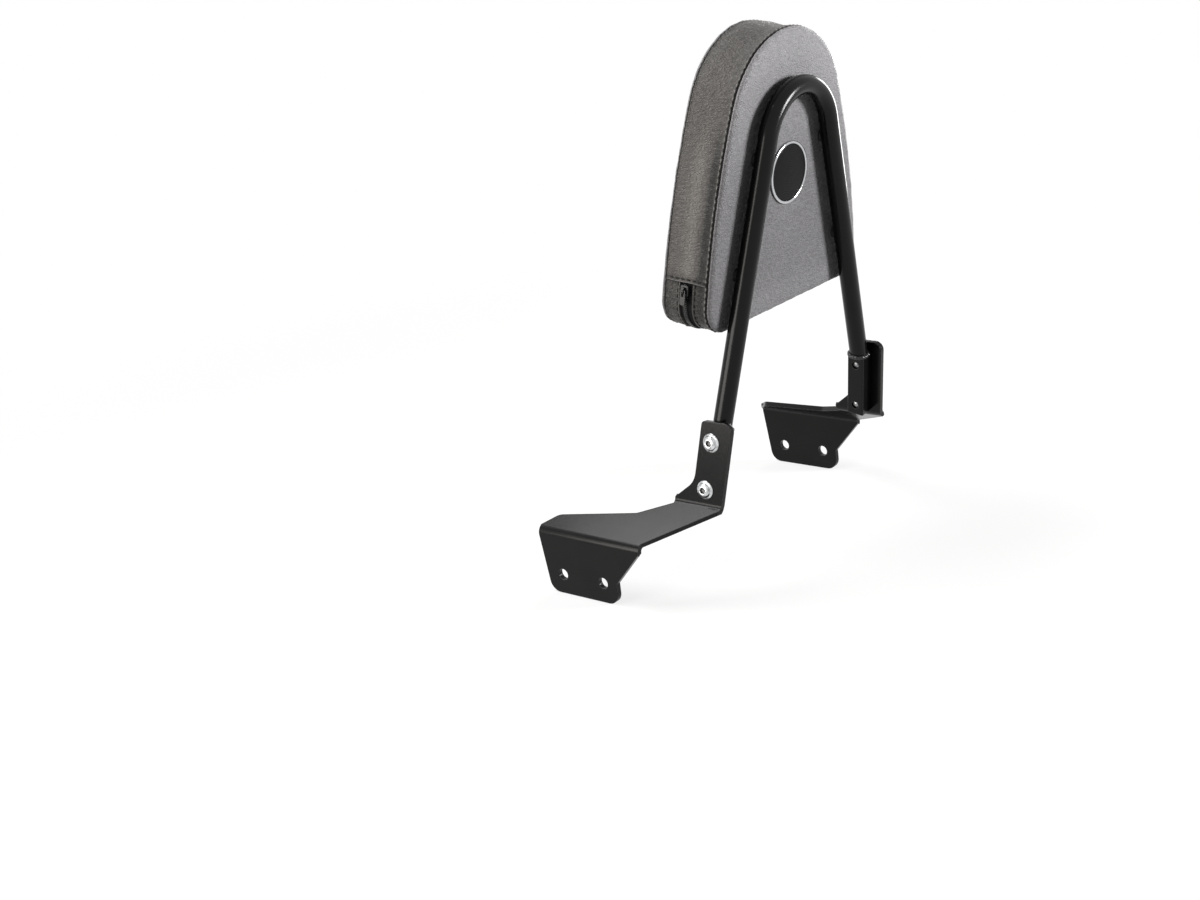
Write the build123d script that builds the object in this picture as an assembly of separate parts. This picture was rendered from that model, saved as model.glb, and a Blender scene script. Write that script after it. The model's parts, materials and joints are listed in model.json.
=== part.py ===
from build123d import *
import os
from math import acos, atan2, cos, hypot, radians, sin, sqrt, tan

# Sissy bar with a backrest pad for the tail of a motorcycle, in millimetres and degrees.
# Frame: +X is the rider's right, +Y forward, +Z up. The origin lies on the mid-plane, midway
# between the fixing holes of the two brackets. Everything is drawn from a datum on the mid-plane,
# where the plane of the hoop meets the level of the pad's lower edge, and is moved at the end.

# Hoop
TUBE_DIAMETER = 14.4
TUBE_WALL = 1.6
HOOP_LEAN_BACK = 7.0
LEG_LEAN_IN = 15.0
LEG_SPACING = 150.4
HOOP_BEND_RADIUS = 40.0
LEG_BELOW_PAD = 68.0

# End bars welded under the legs
BAR_WIDTH = 14.4
BAR_THICKNESS = 12.8
BAR_LENGTH = 53.6
BAR_OUTSET = 1.12
BAR_EDGE_RADIUS = 0.96
BEAD_RADIUS = 1.76
BEAD_CLEARANCE = 0.08

# Brackets, folded from sheet: an upright tab, a sloping shelf and a hanging flange
SHEET = 4.0
BEND_RADIUS = 3.2
BEND_ZONE = 3.6
TAB_LEAN_IN = 7.5
TAB_RAKE_BACK = 10.0
TAB_WIDTH = 27.2
TAB_SHIFT_BACK = 2.8
TAB_ABOVE_BAR = 7.2
TAB_REAR_RADIUS = 6.4
TAB_FRONT_RADIUS = 3.2
TAB_FLARE_HEIGHT = 17.6
FOLD_BELOW_BAR_TOP = 57.6
UPPER_FOLD_LENGTH = 42.4
SHELF_FALL = 31.5
SHELF_DEPTH = 48.0
SHELF_SWEEP = 49.6
LOWER_FOLD_LENGTH = 98.4
SHELF_WAIST = (26.4, 18.4)
SHELF_SHOULDER = (94.4, 32.8)
SHELF_EDGE_RADIUS = 11.2
FLANGE_DEPTH = 49.6
FLANGE_SLANT = 24.8
FLANGE_SLANT_DEPTH = 32.0
FLANGE_FRONT_TAPER = 6.4
FLANGE_CORNER_RADIUS = 9.6
FLANGE_HOLE_DIAMETER = 9.0
FLANGE_HOLE_SPACING = 40.0
FLANGE_HOLE_ABOVE_EDGE = 16.0

# Bracket screws: flanged button heads with a hexagon socket
SCREW_DIAMETER = 6.0
SCREW_SPACING = 36.8
SCREW_BELOW_BAR_TOP = 8.8
SCREW_TIP = 1.2
SCREW_HOLE_CLEARANCE = 0.32
THREAD_CLEARANCE = 0.08
HEAD_FLANGE_DIAMETER = 14.24
HEAD_FLANGE_HEIGHT = 1.2
HEAD_DOME_DIAMETER = 11.2
HEAD_HEIGHT = 3.68
HEAD_TOP_DIAMETER = 5.92
HEAD_DOME_SWELL = 0.64
HEX_SOCKET = 4.0
HEX_DEPTH = 2.24

# Pad
PAD_HEIGHT = 206.4
PAD_LOWER_WIDTH = 196.8
PAD_TOP_RADIUS = 69.6
PAD_SIDE_RADIUS = 560.0
PAD_CORNER_RADIUS = 20.8
PAD_THICKNESS = 48.8
PAD_GAP = 1.2
PAD_BACK_RADIUS = 4.0
PAD_FRONT_RADIUS = 9.6
COVER_WALL = 1.28
FILL_CLEARANCE = 0.24
BOARD_THICKNESS = 8.0

# Fixing of the pad: bushes let into the legs, screwed up from inside the pad
BUSH_HEIGHTS = (40.0, 120.0)
BUSH_DIAMETER = 9.6
BUSH_LENGTH = 10.4
BUSH_CLEARANCE = 0.12
PAD_SCREW_DIAMETER = 5.0
PAD_SCREW_LENGTH = 16.0
PAD_HEAD_DIAMETER = 9.5
PAD_HEAD_HEIGHT = 2.75
PAD_HEX_SOCKET = 3.0
PAD_HEX_DEPTH = 1.6
WASHER_DIAMETER = 14.4
WASHER_THICKNESS = 1.28
RECESS_CLEARANCE = 0.8

# Zip round the lower edge of the pad
ZIP_FROM_BACK = 21.6
ZIP_TOP = 38.4
ZIP_SLOT_WIDTH = 10.4
ZIP_TAPE_INSET = 0.16
ZIP_TAPE_THICKNESS = 0.96
ZIP_TAPE_CLEARANCE = 0.24
CHAIN_WIDTH = 4.48
CHAIN_PROUD = 1.12
CHAIN_CLEARANCE = 0.08
SLIDER_BELOW_TOP = 5.2
SLIDER_LENGTH = 8.0
SLIDER_WIDTH = 7.2
SLIDER_HEIGHT = 2.72
SLIDER_CLEARANCE = 0.32
SLIDER_TRAVEL = 9.6
SLIDER_EDGE_RADIUS = 0.64
BAIL_LENGTH = 5.12
BAIL_WIDTH = 1.6
BAIL_RISE = 2.88
PIN_DIAMETER = 1.2
PIN_CLEARANCE = 0.24
PULLER_LENGTH = 11.2
PULLER_WIDTH = 4.32
PULLER_HEEL = 0.88
PULLER_THICKNESS = 0.8
PULLER_SLOT = 4.16

# Badge on the back of the pad
BADGE_HEIGHT = 101.2
BADGE_DIAMETER = 46.4
BADGE_RIM_WIDTH = 2.24
BADGE_RIM_HEIGHT = 1.76
BADGE_FACE_HEIGHT = 0.96
BADGE_CLEARANCE = 0.08

# Alignments of a solid on its base or under its top
BASE = (Align.CENTER, Align.CENTER, Align.MIN)
TOP = (Align.CENTER, Align.CENTER, Align.MAX)


def hoop_point(across, height, forward=0.0):
    """Point given across, up and ahead of the leaning plane of the hoop."""
    lean = radians(HOOP_LEAN_BACK)
    ahead = forward * cos(lean) - height * sin(lean)
    return Vector(across, ahead, forward * sin(lean) + height * cos(lean))


# The plane of the hoop: local x across, local y up the hoop, local z to the rear
HOOP_REARWARD = Vector(0, 0, 0) - hoop_point(0, 0, 1)
HOOP = Plane(origin=(0, 0, 0), x_dir=(1, 0, 0), z_dir=HOOP_REARWARD)

TUBE_RADIUS = TUBE_DIAMETER / 2
PAD_BACK = TUBE_RADIUS + PAD_GAP
PAD_FRONT = PAD_BACK + PAD_THICKNESS
BOARD_BACK = PAD_BACK + COVER_WALL + FILL_CLEARANCE
BOARD_FRONT = BOARD_BACK + BOARD_THICKNESS
PAD_CENTRE = PAD_HEIGHT - PAD_TOP_RADIUS
ZIP_MIDDLE = PAD_BACK + ZIP_FROM_BACK
PIN_RISE = SLIDER_HEIGHT + BAIL_RISE / 2


def leg_across(height):
    """Distance of a leg's axis from the mid-plane at a height in the hoop's plane."""
    return LEG_SPACING / 2 - height * tan(radians(LEG_LEAN_IN))


# Right-hand axes of the bracket: out of the tab, up the tab, and up the raked end bar
TAB_OUT = Vector(cos(radians(TAB_LEAN_IN)), 0, sin(radians(TAB_LEAN_IN)))
TAB_UP = Vector(-sin(radians(TAB_LEAN_IN)), 0, cos(radians(TAB_LEAN_IN)))
FORWARD = Vector(0, 1, 0)
BAR_UP = TAB_UP * cos(radians(TAB_RAKE_BACK)) - FORWARD * sin(radians(TAB_RAKE_BACK))
SHELF_OUT = Vector(cos(radians(SHELF_FALL)), 0, -sin(radians(SHELF_FALL)))
SHELF_DOWN = Vector(-sin(radians(SHELF_FALL)), 0, -cos(radians(SHELF_FALL)))
DOWN = Vector(0, 0, -1)

LEG_END = hoop_point(leg_across(-LEG_BELOW_PAD), -LEG_BELOW_PAD)
LEG_CUT = Plane(origin=LEG_END, x_dir=TAB_OUT, z_dir=BAR_UP)
BAR_PLANE = Plane(origin=LEG_END + TAB_OUT * BAR_OUTSET, x_dir=TAB_OUT, z_dir=BAR_UP)
TAB_INNER = BAR_OUTSET + BAR_THICKNESS / 2
SHEET_MIDDLE = TAB_INNER + SHEET / 2
UPPER_FOLD = LEG_END + TAB_OUT * SHEET_MIDDLE - TAB_UP * FOLD_BELOW_BAR_TOP
LOWER_FOLD = UPPER_FOLD + SHELF_OUT * SHELF_DEPTH

# Fore-and-aft positions of the bracket's edges
RAKE = tan(radians(TAB_RAKE_BACK))
FOLD_REAR = LEG_END.Y - TAB_SHIFT_BACK - TAB_WIDTH / 2 + FOLD_BELOW_BAR_TOP * RAKE
FOLD_FRONT = FOLD_REAR + UPPER_FOLD_LENGTH
LOWER_REAR = FOLD_REAR + SHELF_SWEEP
LOWER_FRONT = LOWER_REAR + LOWER_FOLD_LENGTH
FLANGE_REAR = LOWER_REAR + FLANGE_SLANT
FLANGE_FRONT = LOWER_FRONT - FLANGE_FRONT_TAPER
HOLE_MIDDLE = (FLANGE_REAR + FLANGE_FRONT) / 2
HOLE_DEPTH = FLANGE_DEPTH - FLANGE_HOLE_ABOVE_EDGE

TO_FRAME = Pos(0, -HOLE_MIDDLE, HOLE_DEPTH - LOWER_FOLD.Z)


def hoop_tube():
    """Tube bent once round the top, with its legs cut to sit on the end bars."""
    lean = radians(LEG_LEAN_IN)
    centre = (LEG_SPACING / 2 - HOOP_BEND_RADIUS / cos(lean)) / tan(lean)
    top = centre + HOOP_BEND_RADIUS
    tangent = centre + HOOP_BEND_RADIUS * sin(lean)
    spare = -LEG_BELOW_PAD - TUBE_DIAMETER
    left_leg = Line((-leg_across(spare), spare), (-leg_across(tangent), tangent))
    bend = ThreePointArc((-leg_across(tangent), tangent), (0, top), (leg_across(tangent), tangent))
    right_leg = Line((leg_across(tangent), tangent), (leg_across(spare), spare))
    path = HOOP * Wire([left_leg, bend, right_leg])
    section = Plane(origin=path @ 0, z_dir=path % 0)
    outer = sweep(section * Circle(TUBE_RADIUS), path=path)
    bore = sweep(section * Circle(TUBE_RADIUS - TUBE_WALL), path=path)
    tube = outer - bore
    reach = 4 * TUBE_DIAMETER
    waste = LEG_CUT * Box(reach, reach, reach, align=TOP)
    tube = tube - waste - mirror(waste, about=Plane.YZ)
    hole_radius = BUSH_DIAMETER / 2 + BUSH_CLEARANCE
    for place in bush_places():
        tube -= place * Pos(0, 0, -BUSH_LENGTH) * Cylinder(hole_radius, BUSH_LENGTH, align=BASE)
    return tube


def bush_places():
    """Location of each bush's front end, with local z pointing forward."""
    places = []
    for side in (-1, 1):
        for height in BUSH_HEIGHTS:
            point = hoop_point(side * leg_across(height), height, BOARD_BACK)
            places.append(Plane(origin=point, x_dir=(1, 0, 0), z_dir=-HOOP_REARWARD).location)
    return places


def screw_places():
    """Planes on the outer face of the tab at the two screws, with local z pointing out."""
    places = []
    for below in (SCREW_BELOW_BAR_TOP, SCREW_BELOW_BAR_TOP + SCREW_SPACING):
        point = LEG_END + TAB_OUT * (TAB_INNER + SHEET) - BAR_UP * below
        places.append(Plane(origin=point, x_dir=FORWARD, z_dir=TAB_OUT).location)
    return places


def end_bar():
    """Bar with rounded long edges and two tapped cross holes."""
    bar = Box(BAR_THICKNESS, BAR_WIDTH, BAR_LENGTH, align=TOP)
    bar = fillet(bar.edges().filter_by(Axis.Z), BAR_EDGE_RADIUS)
    bar = BAR_PLANE * bar
    hole_radius = SCREW_DIAMETER / 2 + THREAD_CLEARANCE
    reach = SHEET + BAR_THICKNESS
    for place in screw_places():
        bar -= place * Cylinder(hole_radius, 2 * reach, align=TOP)
    return bar


def weld_bead():
    """Bead of weld round the foot of a leg, dressed flat where the tab passes it."""
    clear = 2 * BEAD_CLEARANCE
    reach = 2 * TUBE_DIAMETER
    bead = LEG_CUT * Torus(TUBE_RADIUS, BEAD_RADIUS)
    leg_up = hoop_point(leg_across(1), 1) - hoop_point(leg_across(0), 0)
    leg = Plane(origin=LEG_END, z_dir=leg_up) * Cylinder(TUBE_RADIUS + BEAD_CLEARANCE, 2 * reach)
    bar = Pos(0, 0, BEAD_CLEARANCE) * Box(BAR_THICKNESS + clear, BAR_WIDTH + clear, reach, align=TOP)
    face = Plane(origin=LEG_END + TAB_OUT * (TAB_INNER - BEAD_CLEARANCE), x_dir=FORWARD, z_dir=TAB_OUT)
    tab = face * Box(reach, reach, reach, align=BASE)
    bead = bead - leg - BAR_PLANE * bar - tab
    return bead


def offset_line(points, distance):
    """Open line of (across, up) points moved sideways by a distance, with mitred corners."""
    moved = []
    for index, point in enumerate(points):
        before = (points[max(index - 1, 0)], points[max(index - 1, 0) + 1])
        after = (points[min(index, len(points) - 2)], points[min(index, len(points) - 2) + 1])
        normals = []
        for start, end in (before, after):
            length = hypot(end[0] - start[0], end[1] - start[1])
            normals.append(((start[1] - end[1]) / length, (end[0] - start[0]) / length))
        share = 1 + normals[0][0] * normals[1][0] + normals[0][1] * normals[1][1]
        moved.append(tuple(point[k] + distance * (normals[0][k] + normals[1][k]) / share for k in (0, 1)))
    return moved


def folded_sheet():
    """Sheet of even thickness, folded twice along lines parallel to Y, before trimming."""
    spare = 2 * SHEET
    tab_end = UPPER_FOLD + TAB_UP * (FOLD_BELOW_BAR_TOP + TAB_ABOVE_BAR + spare)
    flange_end = LOWER_FOLD + DOWN * (FLANGE_DEPTH + spare)
    middle = [(point.X, point.Z) for point in (tab_end, UPPER_FOLD, LOWER_FOLD, flange_end)]
    upper = offset_line(middle, SHEET / 2)
    lower = offset_line(middle, -SHEET / 2)
    inner, outer = BEND_RADIUS, BEND_RADIUS + SHEET
    upper_edge = FilletPolyline(*upper, radius=[inner, outer])
    lower_edge = FilletPolyline(*lower, radius=[outer, inner])
    ends = [Line(upper[0], lower[0]), Line(upper[-1], lower[-1])]
    profile = make_face([*upper_edge.edges(), *lower_edge.edges(), *[end.edge() for end in ends]])
    front, rear = LOWER_FRONT + spare, FOLD_REAR - 2 * TAB_WIDTH
    return extrude(Plane.XZ.offset(-front) * profile, amount=front - rear)


def corner_fillet(outline, corner, radius):
    """Round the corner of an outline that lies nearest to a point."""
    vertex = outline.vertices().sort_by_distance(Vector(*corner))[0]
    return fillet(vertex, radius)


def blank(plane, outline):
    """Thick blank of an outline, which holds the sheet on both sides of its plane."""
    return extrude(plane * outline, amount=SHEET / 2 + BEND_ZONE / 2, both=True)


def tab_outline():
    """Raked tab, flared forward to the full length of the upper fold."""
    height = FOLD_BELOW_BAR_TOP + TAB_ABOVE_BAR
    top_rear = (FOLD_REAR - height * RAKE, height)
    top_front = (top_rear[0] + TAB_WIDTH, height)
    flare = (top_front[0] + (height - TAB_FLARE_HEIGHT) * RAKE, TAB_FLARE_HEIGHT)
    foot = [(FOLD_FRONT, BEND_ZONE), (FOLD_FRONT, -BEND_ZONE), (FOLD_REAR, -BEND_ZONE), (FOLD_REAR, 0)]
    outline = make_face(Polyline(top_rear, top_front, flare, *foot, close=True))
    outline = corner_fillet(outline, top_rear, TAB_REAR_RADIUS)
    outline = corner_fillet(outline, top_front, TAB_FRONT_RADIUS)
    return corner_fillet(outline, flare, TAB_FLARE_HEIGHT)


def shelf_outline():
    """Shelf swept forward from the upper fold to the longer lower fold."""
    far = SHELF_DEPTH - BEND_ZONE
    waist = (FOLD_FRONT + SHELF_WAIST[0], SHELF_WAIST[1])
    shoulder = (FOLD_FRONT + SHELF_SHOULDER[0], SHELF_SHOULDER[1])
    low = SHELF_DEPTH + BEND_ZONE
    rear = [(LOWER_REAR, low), (LOWER_REAR, far), (FOLD_REAR, BEND_ZONE), (FOLD_REAR, -BEND_ZONE)]
    front = [(FOLD_FRONT, -BEND_ZONE), (FOLD_FRONT, BEND_ZONE), waist, shoulder, (LOWER_FRONT, far)]
    outline = make_face(Polyline(*rear, *front, (LOWER_FRONT, low), close=True))
    for corner in (waist, shoulder):
        outline = corner_fillet(outline, corner, SHELF_EDGE_RADIUS)
    return outline


def flange_outline():
    """Flange with a slanted rear edge and rounded lower corners."""
    rear = [(LOWER_REAR, -BEND_ZONE), (LOWER_REAR, BEND_ZONE), (FLANGE_REAR, FLANGE_SLANT_DEPTH)]
    low = [(FLANGE_REAR, FLANGE_DEPTH), (FLANGE_FRONT, FLANGE_DEPTH)]
    front = [(LOWER_FRONT, BEND_ZONE), (LOWER_FRONT, -BEND_ZONE)]
    outline = make_face(Polyline(*rear, *low, *front, close=True))
    for corner in low:
        outline = corner_fillet(outline, corner, FLANGE_CORNER_RADIUS)
    return outline


def bracket():
    """Folded bracket with two screw holes in the tab and two fixing holes in the flange."""
    upper = UPPER_FOLD - FORWARD * UPPER_FOLD.Y
    lower = LOWER_FOLD - FORWARD * LOWER_FOLD.Y
    tab = blank(Plane(origin=upper, x_dir=FORWARD, z_dir=TAB_OUT), tab_outline())
    shelf = blank(Plane(origin=upper, x_dir=FORWARD, z_dir=SHELF_DOWN), shelf_outline())
    flange_plane = Plane(origin=lower, x_dir=FORWARD, z_dir=(-1, 0, 0))
    flange = blank(flange_plane, flange_outline())
    plate = folded_sheet() & (tab + shelf + flange)
    hole_radius = SCREW_DIAMETER / 2 + SCREW_HOLE_CLEARANCE
    for place in screw_places():
        plate -= place * Cylinder(hole_radius, 4 * SHEET)
    for step in (-0.5, 0.5):
        hole = flange_plane * Pos(HOLE_MIDDLE + step * FLANGE_HOLE_SPACING, HOLE_DEPTH, 0)
        plate -= hole * Cylinder(FLANGE_HOLE_DIAMETER / 2, 4 * SHEET)
    return plate


def flanged_screw():
    """Screw seen from under its head at z = 0: domed head above, plain shank below."""
    dome_foot = (HEAD_DOME_DIAMETER / 2, HEAD_FLANGE_HEIGHT)
    dome_top = (HEAD_TOP_DIAMETER / 2, HEAD_HEIGHT)
    rim = HEAD_FLANGE_DIAMETER / 2
    edge = Polyline((0, 0), (rim, 0), (rim, HEAD_FLANGE_HEIGHT / 2), dome_foot)
    dome = SagittaArc(dome_foot, dome_top, HEAD_DOME_SWELL)
    cap = Polyline(dome_top, (0, HEAD_HEIGHT), (0, 0))
    head = revolve(Plane.XZ * make_face([*edge.edges(), dome, *cap.edges()]), Axis.Z)
    socket = RegularPolygon(HEX_SOCKET / 2, 6, major_radius=False)
    head -= extrude(Pos(0, 0, HEAD_HEIGHT - HEX_DEPTH) * socket, amount=HEX_DEPTH)
    shank = Cylinder(SCREW_DIAMETER / 2, SHEET + BAR_THICKNESS + SCREW_TIP, align=TOP)
    shank = chamfer(shank.edges().group_by(Axis.Z)[0], SCREW_TIP / 2)
    return head + shank


def bracket_screws():
    """Two screws on each side."""
    right = [place * flanged_screw() for place in screw_places()]
    return Compound(children=[*right, *[mirror(screw, about=Plane.YZ) for screw in right]])


def pad_side():
    """Angle at which the side arcs leave the top arc, and the centre of the right-hand side arc."""
    spread = PAD_SIDE_RADIUS - PAD_TOP_RADIUS
    corner = (PAD_LOWER_WIDTH / 2, -PAD_CENTRE)
    distance = hypot(*corner)
    reach = (PAD_SIDE_RADIUS**2 - distance**2 - spread**2) / (2 * spread * distance)
    angle = acos(reach) + atan2(corner[1], corner[0])
    return angle, (-spread * cos(angle), PAD_CENTRE - spread * sin(angle))


def side_across(height, inset=0.0):
    """Half width of the pad at a height on its side arc."""
    centre = pad_side()[1]
    return centre[0] + sqrt((PAD_SIDE_RADIUS - inset) ** 2 - (height - centre[1]) ** 2)


def pad_outline(inset):
    """Outline of the pad, moved in by an inset: flat foot, bowed sides and round top."""
    angle, centre = pad_side()
    top_radius = PAD_TOP_RADIUS - inset
    tangent = (top_radius * cos(angle), PAD_CENTRE + top_radius * sin(angle))
    foot = (side_across(inset, inset), inset)
    middle_height = (tangent[1] + foot[1]) / 2
    middle = (side_across(middle_height, inset), middle_height)
    lower = Line((-foot[0], foot[1]), foot)
    right = ThreePointArc(foot, middle, tangent)
    top = ThreePointArc(tangent, (0, PAD_CENTRE + top_radius), (-tangent[0], tangent[1]))
    left = ThreePointArc((-tangent[0], tangent[1]), (-middle[0], middle[1]), (-foot[0], foot[1]))
    outline = make_face([lower, right, top, left])
    return fillet(outline.vertices().group_by(Axis.Y)[0], PAD_CORNER_RADIUS - inset)


def pad_slab(inset, back, front):
    """Straight-sided slab of the pad's outline between two depths ahead of the hoop's plane."""
    return extrude(HOOP.offset(-back) * pad_outline(inset), amount=back - front)


def pad_block(inset):
    """Rounded body of the pad, moved in by an inset on every side."""
    block = pad_slab(inset, PAD_BACK + inset, PAD_FRONT - inset)
    faces = block.faces().sort_by(Axis(origin=(0, 0, 0), direction=-HOOP_REARWARD))
    block = fillet(faces[0].edges(), PAD_BACK_RADIUS - inset)
    faces = block.faces().sort_by(Axis(origin=(0, 0, 0), direction=-HOOP_REARWARD))
    return fillet(faces[-1].edges(), PAD_FRONT_RADIUS - inset)


def zip_zone(width, top):
    """Box that holds the zip's stretch of the pad: a width about its line, up to a height."""
    reach = 2 * PAD_LOWER_WIDTH
    zone = Box(reach, reach, width, align=(Align.CENTER, Align.MAX, Align.CENTER))
    return HOOP * Pos(0, top, -ZIP_MIDDLE) * zone


def pad_cover():
    """Cover sewn round the pad, open along the zip and at the four bushes."""
    cover = pad_block(0) - pad_block(COVER_WALL) - zip_zone(ZIP_SLOT_WIDTH, ZIP_TOP)
    hole_radius = BUSH_DIAMETER / 2 + FILL_CLEARANCE
    for place in bush_places():
        cover -= place * Cylinder(hole_radius, 4 * (COVER_WALL + PAD_GAP))
    return cover


def pad_board(fill):
    """Board at the back of the pad, drilled for the screws."""
    board = fill & pad_slab(0, BOARD_BACK, BOARD_FRONT)
    for place in bush_places():
        board -= place * Cylinder(PAD_SCREW_DIAMETER / 2 + SCREW_HOLE_CLEARANCE, 4 * BOARD_THICKNESS)
    return board


def pad_foam(fill):
    """Foam in front of the board, hollowed over the screw heads."""
    foam = fill & pad_slab(0, BOARD_FRONT, PAD_FRONT)
    depth = WASHER_THICKNESS + PAD_HEAD_HEIGHT + RECESS_CLEARANCE
    for place in bush_places():
        recess = Cylinder(WASHER_DIAMETER / 2 + RECESS_CLEARANCE, depth, align=BASE)
        foam -= place * Pos(0, 0, BOARD_THICKNESS) * recess
    return foam


def pad_bush():
    """Threaded bush, its front end at z = 0."""
    bore = Cylinder(PAD_SCREW_DIAMETER / 2 + THREAD_CLEARANCE, BUSH_LENGTH, align=TOP)
    return Cylinder(BUSH_DIAMETER / 2, BUSH_LENGTH, align=TOP) - bore


def pad_washer():
    """Wide washer under a pad screw's head."""
    bore = Cylinder(PAD_SCREW_DIAMETER / 2 + SCREW_HOLE_CLEARANCE, WASHER_THICKNESS, align=BASE)
    washer = Cylinder(WASHER_DIAMETER / 2, WASHER_THICKNESS, align=BASE) - bore
    return Pos(0, 0, BOARD_THICKNESS) * washer


def pad_screw():
    """Button-head screw that holds the board to a bush."""
    head = Cylinder(PAD_HEAD_DIAMETER / 2, PAD_HEAD_HEIGHT, align=BASE)
    head = fillet(head.edges().group_by(Axis.Z)[-1], PAD_HEAD_HEIGHT / 2)
    socket = RegularPolygon(PAD_HEX_SOCKET / 2, 6, major_radius=False)
    head -= extrude(Pos(0, 0, PAD_HEAD_HEIGHT - PAD_HEX_DEPTH) * socket, amount=PAD_HEX_DEPTH)
    shank = Cylinder(PAD_SCREW_DIAMETER / 2, PAD_SCREW_LENGTH, align=TOP)
    return Pos(0, 0, BOARD_THICKNESS + WASHER_THICKNESS) * (head + shank)


def at_bushes(piece):
    """Copies of a piece at the four bushes."""
    return Compound(children=[place * piece for place in bush_places()])


def zip_tape():
    """Zip tape that closes the slot in the cover."""
    inner = ZIP_TAPE_INSET + ZIP_TAPE_THICKNESS
    band = pad_slab(ZIP_TAPE_INSET, PAD_BACK, PAD_FRONT) - pad_slab(inner, PAD_BACK, PAD_FRONT)
    return band & zip_zone(ZIP_SLOT_WIDTH - 2 * ZIP_TAPE_CLEARANCE, ZIP_TOP - ZIP_TAPE_CLEARANCE)


def zip_chain():
    """Closed run of zip teeth along the tape."""
    seat = ZIP_TAPE_INSET - CHAIN_CLEARANCE
    band = pad_slab(-CHAIN_PROUD, PAD_BACK, PAD_FRONT) - pad_slab(seat, PAD_BACK, PAD_FRONT)
    return band & zip_zone(CHAIN_WIDTH, ZIP_TOP - 2 * ZIP_TAPE_CLEARANCE)


def slider_place():
    """Plane of the slider on the pad's left side: local x down the zip, local z out of the pad."""
    centre = pad_side()[1]
    rest = ZIP_TOP - SLIDER_BELOW_TOP
    middle = rest - SLIDER_TRAVEL / 2
    turn = atan2(middle - centre[1], side_across(middle) - centre[0])
    outward = hoop_point(-cos(turn), sin(turn))
    down = hoop_point(-sin(turn), -cos(turn))
    point = hoop_point(-side_across(middle), middle, ZIP_MIDDLE) - down * (SLIDER_TRAVEL / 2)
    return Plane(origin=point, x_dir=down, z_dir=outward)


def zip_slider():
    """Slider body that runs over the teeth, with the bail that holds the puller."""
    body = Box(SLIDER_LENGTH, SLIDER_WIDTH, SLIDER_HEIGHT, align=BASE)
    body = fillet(body.edges().filter_by(Axis.Z), 2 * SLIDER_EDGE_RADIUS)
    body = fillet(body.edges().group_by(Axis.Z)[-1], SLIDER_EDGE_RADIUS)
    body = Pos(0, 0, SLIDER_CLEARANCE / 2) * body
    channel = CHAIN_PROUD + SLIDER_CLEARANCE
    body -= Box(2 * SLIDER_LENGTH, CHAIN_WIDTH + 2 * SLIDER_CLEARANCE, 2 * channel)
    half = BAIL_LENGTH / 2
    top = SLIDER_HEIGHT + BAIL_RISE
    left, right = (-half, SLIDER_HEIGHT), (half, SLIDER_HEIGHT)
    arch = make_face([Line(left, right), ThreePointArc(right, (0, top), left)])
    bail = extrude(Plane.XZ * arch, amount=BAIL_WIDTH / 2, both=True)
    eye = Plane.XZ * Pos(0, PIN_RISE, 0) * Cylinder(PIN_DIAMETER / 2 + PIN_CLEARANCE, SLIDER_WIDTH)
    return slider_place() * (body + bail - eye)


def zip_puller():
    """Puller plate forked round the bail and hung on a cross pin."""
    middle = PULLER_LENGTH / 2 - PULLER_HEEL
    plate = Pos(middle, 0, 0) * Box(PULLER_LENGTH, PULLER_WIDTH, PULLER_THICKNESS)
    plate = fillet(plate.edges().filter_by(Axis.Z), PULLER_WIDTH / 4)
    slot_width = BAIL_WIDTH + 2 * PIN_CLEARANCE
    plate -= Box(2 * PULLER_SLOT, slot_width, 2 * PULLER_THICKNESS)
    pin = Plane.XZ * Cylinder(PIN_DIAMETER / 2, slot_width + PULLER_THICKNESS)
    return slider_place() * Pos(0, 0, PIN_RISE) * (plate + pin)


def badge_rim():
    """Rounded rim of the badge, standing on the back of the pad."""
    ring = Circle(BADGE_DIAMETER / 2) - Circle(BADGE_DIAMETER / 2 - BADGE_RIM_WIDTH)
    rim = extrude(ring, amount=BADGE_RIM_HEIGHT)
    rim = fillet(rim.edges().group_by(Axis.Z)[-1], BADGE_RIM_WIDTH / 3)
    return HOOP.offset(-PAD_BACK) * Pos(0, BADGE_HEIGHT, 0) * rim


def badge_face():
    """Bare disc inside the badge's rim."""
    disc = Cylinder(BADGE_DIAMETER / 2 - BADGE_RIM_WIDTH - BADGE_CLEARANCE, BADGE_FACE_HEIGHT, align=BASE)
    return HOOP.offset(-PAD_BACK) * Pos(0, BADGE_HEIGHT, 0) * disc


def main():
    """Build every piece and write it under its own name."""
    os.makedirs("parts", exist_ok=True)
    fill = pad_block(COVER_WALL + FILL_CLEARANCE)
    pieces = {"hoop_tube": hoop_tube()}
    for name, piece in (("end_bar", end_bar()), ("weld_bead", weld_bead()), ("bracket", bracket())):
        pieces["right_" + name] = piece
        pieces["left_" + name] = mirror(piece, about=Plane.YZ)
    pieces["bracket_screws"] = bracket_screws()
    pieces["pad_cover"] = pad_cover()
    pieces["pad_board"] = pad_board(fill)
    pieces["pad_foam"] = pad_foam(fill)
    pieces["pad_bushes"] = at_bushes(pad_bush())
    pieces["pad_washers"] = at_bushes(pad_washer())
    pieces["pad_screws"] = at_bushes(pad_screw())
    pieces["zip_tape"] = zip_tape()
    pieces["zip_chain"] = zip_chain()
    pieces["zip_slider"] = zip_slider()
    pieces["zip_puller"] = zip_puller()
    pieces["badge_rim"] = badge_rim()
    pieces["badge_face"] = badge_face()
    for name, piece in pieces.items():
        export_step(TO_FRAME * piece, os.path.join("parts", name + ".step"))


if __name__ == "__main__":
    main()
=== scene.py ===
"""Looks of a sissy bar with a sewn backrest pad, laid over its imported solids."""

import json
import logging
import math
from dataclasses import dataclass, field
from enum import Enum
from typing import Any

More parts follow.
